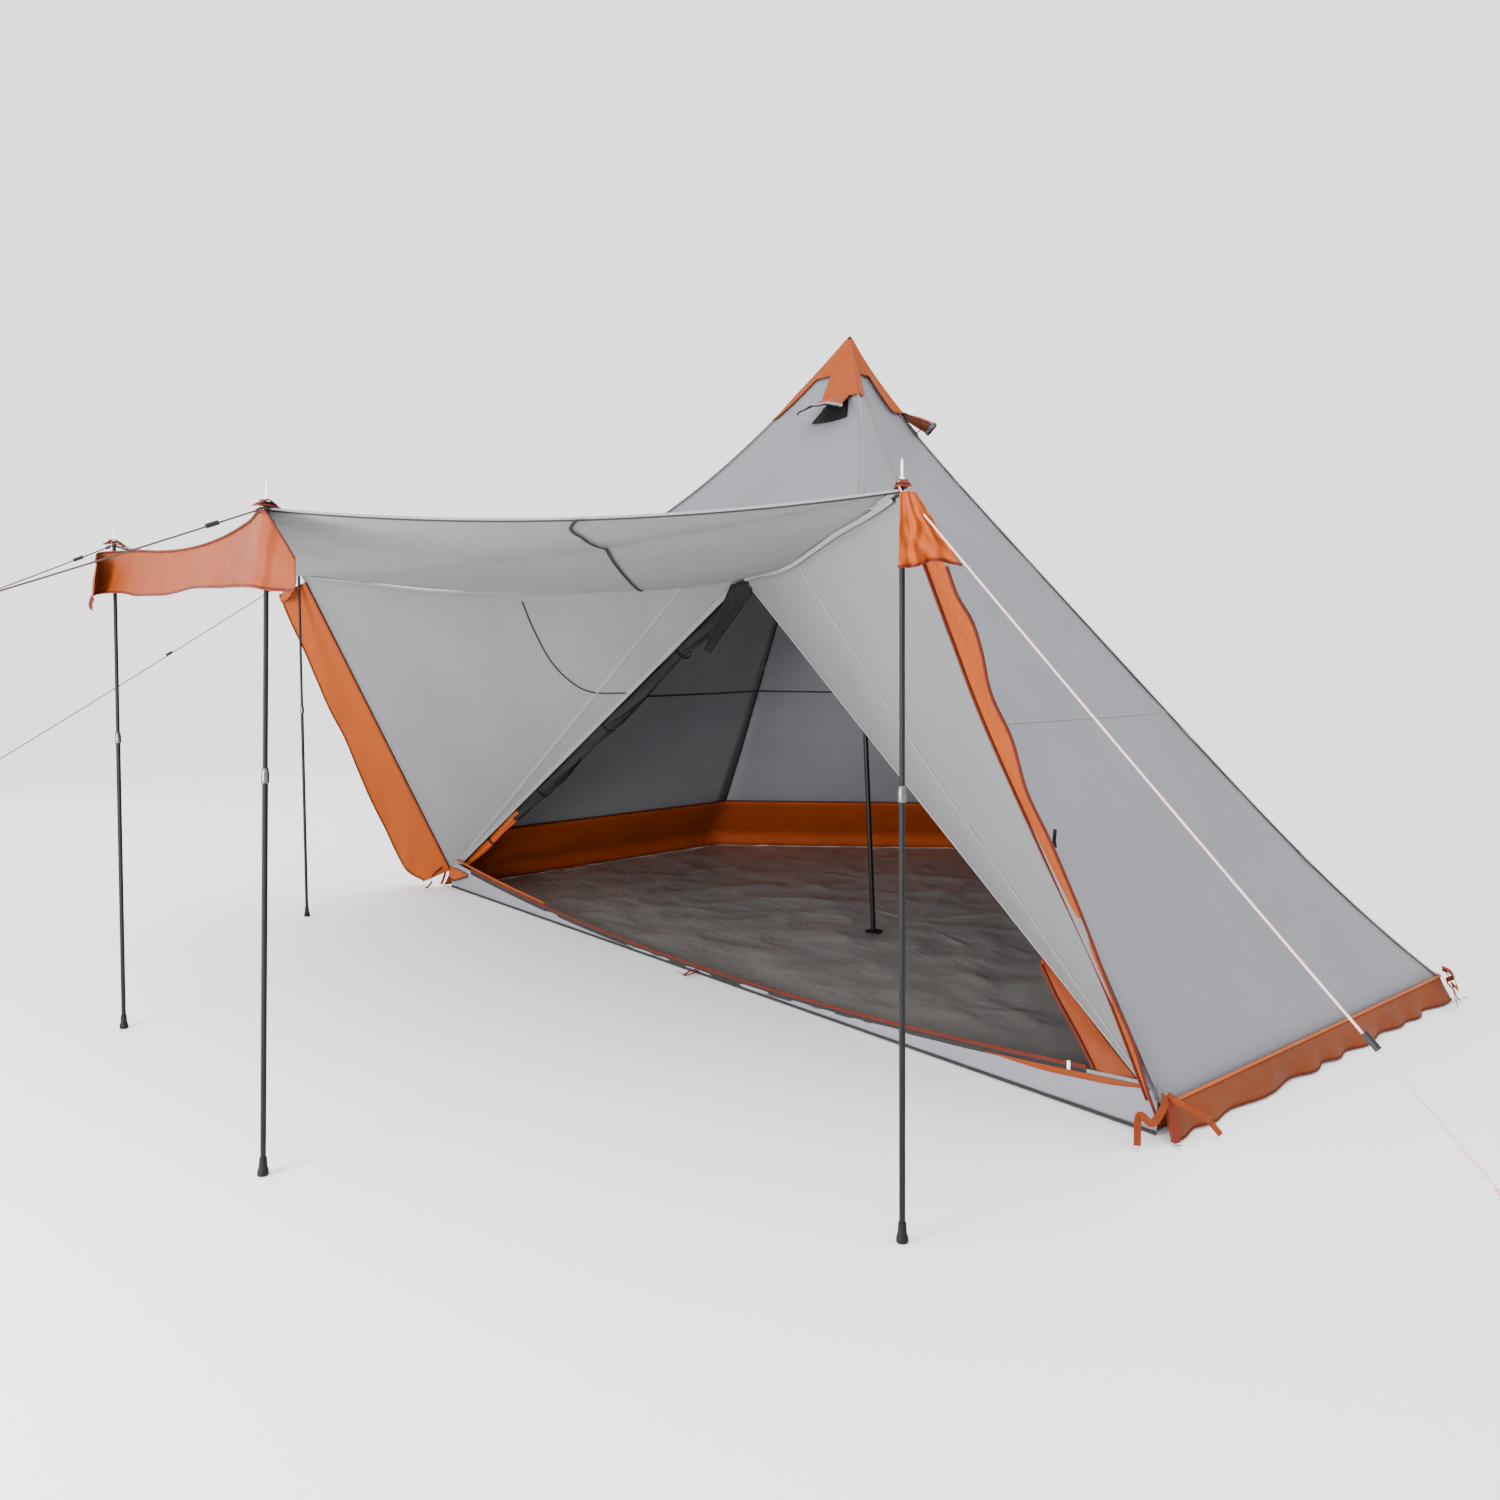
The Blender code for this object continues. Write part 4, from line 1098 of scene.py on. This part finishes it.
tooth = ((0, 1, 2, 3), (7, 6, 5, 4), (0, 4, 5, 1), (1, 5, 6, 2), (2, 6, 7, 3), (3, 7, 4, 0))
teeth_points, teeth_faces = [], []
x = -ZIP_END
while x < ZIP_END:
    z = sill_height(x)
    step = Vector((1.0, 0.0, (sill_height(x + 0.001) - z) / 0.001)).normalized()
    rise = Vector((-step.z, 0, step.x))
    centre = Vector((x, FRONT_Y - 0.0035, z - 0.002))
    teeth_faces += [tuple(len(teeth_points) + corner for corner in face) for face in tooth]
    for dy in (-0.0016, 0.0010):
        for da, db in ((-0.0018, -0.003), (0.0018, -0.003), (0.0018, 0.003), (-0.0018, 0.003)):
            teeth_points.append(centre + step * da + rise * db + Vector((0, dy, 0)))
    x += 0.009
sewn(sill.name, piece("zip_teeth", teeth_points, teeth_faces, PLASTIC, slot="black_plastic"))
piping("sill_orange_piping", sill_line(0.003, 0.025, lambda x: x < -1.25), 0.006, ORANGE, sill.name)


def gusset(label, top, low, count, steps, nudge, look, width, length, radius):
    """The small orange piece between a wing's foot and the end of the zip."""
    rows = between(through(top, count), through(low, count), steps, nudge)
    made = lofted("gusset_" + label, rows, look, slot="orange_fabric", thickness=TRIM)
    declare(made, rows, width, length, held="hung")
    piping(made.name + "_hem", [p + OUT * 0.003 for p in rows[-1]], radius, DARK_PIPING, made.name)
    return made


def lower_point(s, u):
    x = 1.70 + 0.63 * u
    high = sill_height(x) - 0.010
    drop = 0.022 * smooth((x - 1.64) / 0.35) * (1 - 0.6 * smooth((x - 2.16) / 0.19))
    return Vector((x, FRONT_Y - 0.0098 - 0.001 * math.sin(math.pi * s) - 0.001 * (1 - s), high - drop * s))


right = gusset("right",
               [(1.870, -1.072, 0.450), (2.010, -1.090, 0.345), (2.150, -1.112, 0.235),
                (2.330, -1.140, 0.115)],
               [(1.880, -1.094, 0.425), (1.985, -1.118, 0.305), (2.055, -1.134, 0.235),
                (2.128, -1.150, 0.150)], 30, 12,
               lambda s, j: OUT * (0.004 * math.sin(math.pi * s) - 0.003 * sway((j * 0.2, s, 0), 1.0)),
               VALANCE_CLOTH, 0.12, 0.42, 0.007)
sewn(right.name, lofted("gusset_right_lower", grid(6, 40, lower_point), VALANCE_CLOTH, slot="orange_fabric",
                        thickness=CLOTH))
gusset("left",
       [(-2.345, -1.166, 0.128), (-2.280, -1.168, 0.134), (-2.200, -1.168, 0.128), (-2.120, -1.168, 0.118)],
       [(-2.350, -1.172, 0.070), (-2.290, -1.176, 0.058), (-2.220, -1.174, 0.076), (-2.130, -1.168, 0.104)],
       24, 8,
       lambda s, j: OUT * 0.005 * math.sin(math.pi * s), ORANGE, 0.07, 0.24, 0.005)
loop = through([(0.074, -1.158, 0.022), (0.066, -1.176, 0.018), (0.078, -1.222, 0.012), (0.094, -1.226, 0.012),
                (0.098, -1.180, 0.018), (0.090, -1.158, 0.022)], 26)
tape("door_peg_loop", loop, 0.012, RED_WEB, UP, sill.name)

# ---------------------------------------------------------------- rolled-back door
P1 = CORNERS["left_front"]
axis = (P1 - T).normalized()
inside = Vector((0.42, 0.90, 0.10)).normalized()
beside = axis.cross(inside).normalized()


def roll_centre(t):
    return T.lerp(P1, t) + Vector((0.030, 0.050, 0.0))


def roll_rings(start, end, steps, radius_of, seed):
    """Rings of rolled cloth, with lumps that wind round it like the edges of its turns."""
    rings = []
    for i in range(steps + 1):
        t = start + (end - start) * i / steps
        centre = roll_centre(t) + inside * 0.004 * math.sin(t * 23)
        ring = []
        for k in range(26):
            turn = 2 * math.pi * k / 26
            twist = turn + t * 9
            lump = 1 + 0.15 * math.sin(3 * twist + seed) + 0.09 * math.sin(7 * twist + 2)
            radius = radius_of(t) * (lump + 0.12 * sway((t * 26, k * 0.4, 0), 1.0, seed))
            ring.append(centre + beside * radius * 1.05 * math.cos(turn)
                        + inside * radius * 0.8 * math.sin(turn))
        rings.append(ring)
    return rings


def mesh_radius(t):
    return 0.036 + 0.010 * math.sin(t * 13) ** 2 - 0.012 * math.exp(-((t - 0.22) / 0.05) ** 2)


def cloth_radius(t):
    return 0.024 + 0.008 * math.sin(t * 19) ** 2 - 0.010 * smooth((t - 0.88) * 10)


rings = roll_rings(0.055, 0.76, 110, mesh_radius, 1.0)
roll = lofted("door_roll_mesh", rings, MESH, closed=True, slot="mesh_fabric", thickness=CLOTH)
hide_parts("door_roll")
for label, ring, look, sign in (("top", rings[0], MESH, 1), ("end", rings[-1], ORANGE_DEEP, -1)):
    centre = sum(ring, Vector()) / len(ring)
    inward = [[centre.lerp(p, part) - axis * step * sign for p in ring]
              for part, step in ((0.7, 0.0), (0.35, 0.006), (0.02, 0.0))]
    lofted("door_roll_" + label, [ring, *inward], look, closed=True, slot="mesh_fabric", thickness=0.001)
rings = roll_rings(0.74, 0.975, 50, cloth_radius, 4.0)
lower_roll = lofted("door_roll_cloth", rings, ORANGE_DEEP, closed=True, slot="orange_fabric", thickness=CLOTH)
for t in (0.20, 0.43, 0.66, 0.86):
    centre = roll_centre(t)
    radius = 0.046 if t < 0.7 else 0.033
    line = []
    for k in range(25):
        turn = 2 * math.pi * k / 24
        line.append(centre + beside * radius * 1.04 * math.cos(turn) + inside * radius * 0.9 * math.sin(turn)
                    + axis * 0.004 * math.sin(turn))
    sweep("door_tie_%d" % (t * 100), line, tape_profile(0.016, 0.002), BLACK_CLOTH,
          up=[(p - centre).normalized() for p in line], slot="mesh_fabric")


# the mesh door's gathered head, below the top of the doorway
def gathered(s, j):
    fold = math.sin(j * 0.95) * 0.009 * math.sin(math.pi * min(1, s * 0.9 + 0.05))
    return Vector((0.3, -0.6, 0)) * fold


head = through([(-0.050, -0.835, 1.770), (0.015, -0.835, 1.776), (0.075, -0.825, 1.776),
                (0.080, -0.828, 1.735)], 30)
neck = through([(-0.300, -0.800, 1.470), (-0.290, -0.798, 1.466), (-0.280, -0.796, 1.462),
                (-0.272, -0.794, 1.458)], 30)
rows = between(head, neck, 18, gathered)
fan = lofted("door_mesh_fan", rows, MESH, slot="mesh_fabric", thickness=0.0008)
declare(fan, rows, 0.20, 0.5, held="gathered")
for k, index in enumerate((0, -1)):
    piping("door_mesh_edge_%d" % k, [row[index] for row in rows], 0.007, BLACK_CLOTH, fan.name,
           slot="mesh_fabric")
piping("door_mesh_head", rows[0], 0.006, BLACK_CLOTH, fan.name, slot="mesh_fabric")


# ---------------------------------------------------------------- floor and light
floor = bpy.data.meshes.new("studio_floor")
FLOOR_HALF, FLOOR_Z = 60, -0.001
floor_corners = [(x * FLOOR_HALF, y * FLOOR_HALF, FLOOR_Z) for x, y in ((-1, -1), (1, -1), (1, 1), (-1, 1))]
floor.from_pydata(floor_corners, [], [(0, 1, 2, 3)])
pale, nodes, links, shader = material("studio_pale")
shader.inputs["Base Color"].default_value = (0.96, 0.96, 0.96, 1.0)
shader.inputs["Roughness"].default_value = 0.9
shader.inputs["Specular IOR Level"].default_value = 0.1
floor.materials.append(pale)
floor_object = bpy.data.objects.new("studio_floor", floor)
bpy.context.scene.collection.objects.link(floor_object)
floor_object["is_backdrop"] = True

world = bpy.data.worlds.new("studio")
bpy.context.scene.world = world
world.use_nodes = True
world.node_tree.nodes["Background"].inputs["Color"].default_value = (1.0, 1.0, 1.0, 1.0)
world.node_tree.nodes["Background"].inputs["Strength"].default_value = 2.1


def area_light(name, location, target, size, power):
    data = bpy.data.lights.new(name, "AREA")
    data.size = size
    data.energy = power
    lamp = bpy.data.objects.new(name, data)
    lamp.location = location
    lamp.rotation_euler = (Vector(target) - Vector(location)).to_track_quat("-Z", "Y").to_euler()
    bpy.context.scene.collection.objects.link(lamp)


area_light("key", (5.5, -6.0, 7.5), (0, -0.5, 1.0), 6.0, 520)
area_light("fill", (-6.5, -5.0, 4.0), (0, -0.5, 1.0), 7.0, 180)
area_light("door", (1.4, -7.6, 1.2), (-0.3, 1.2, 0.5), 2.4, 850)

low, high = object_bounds()
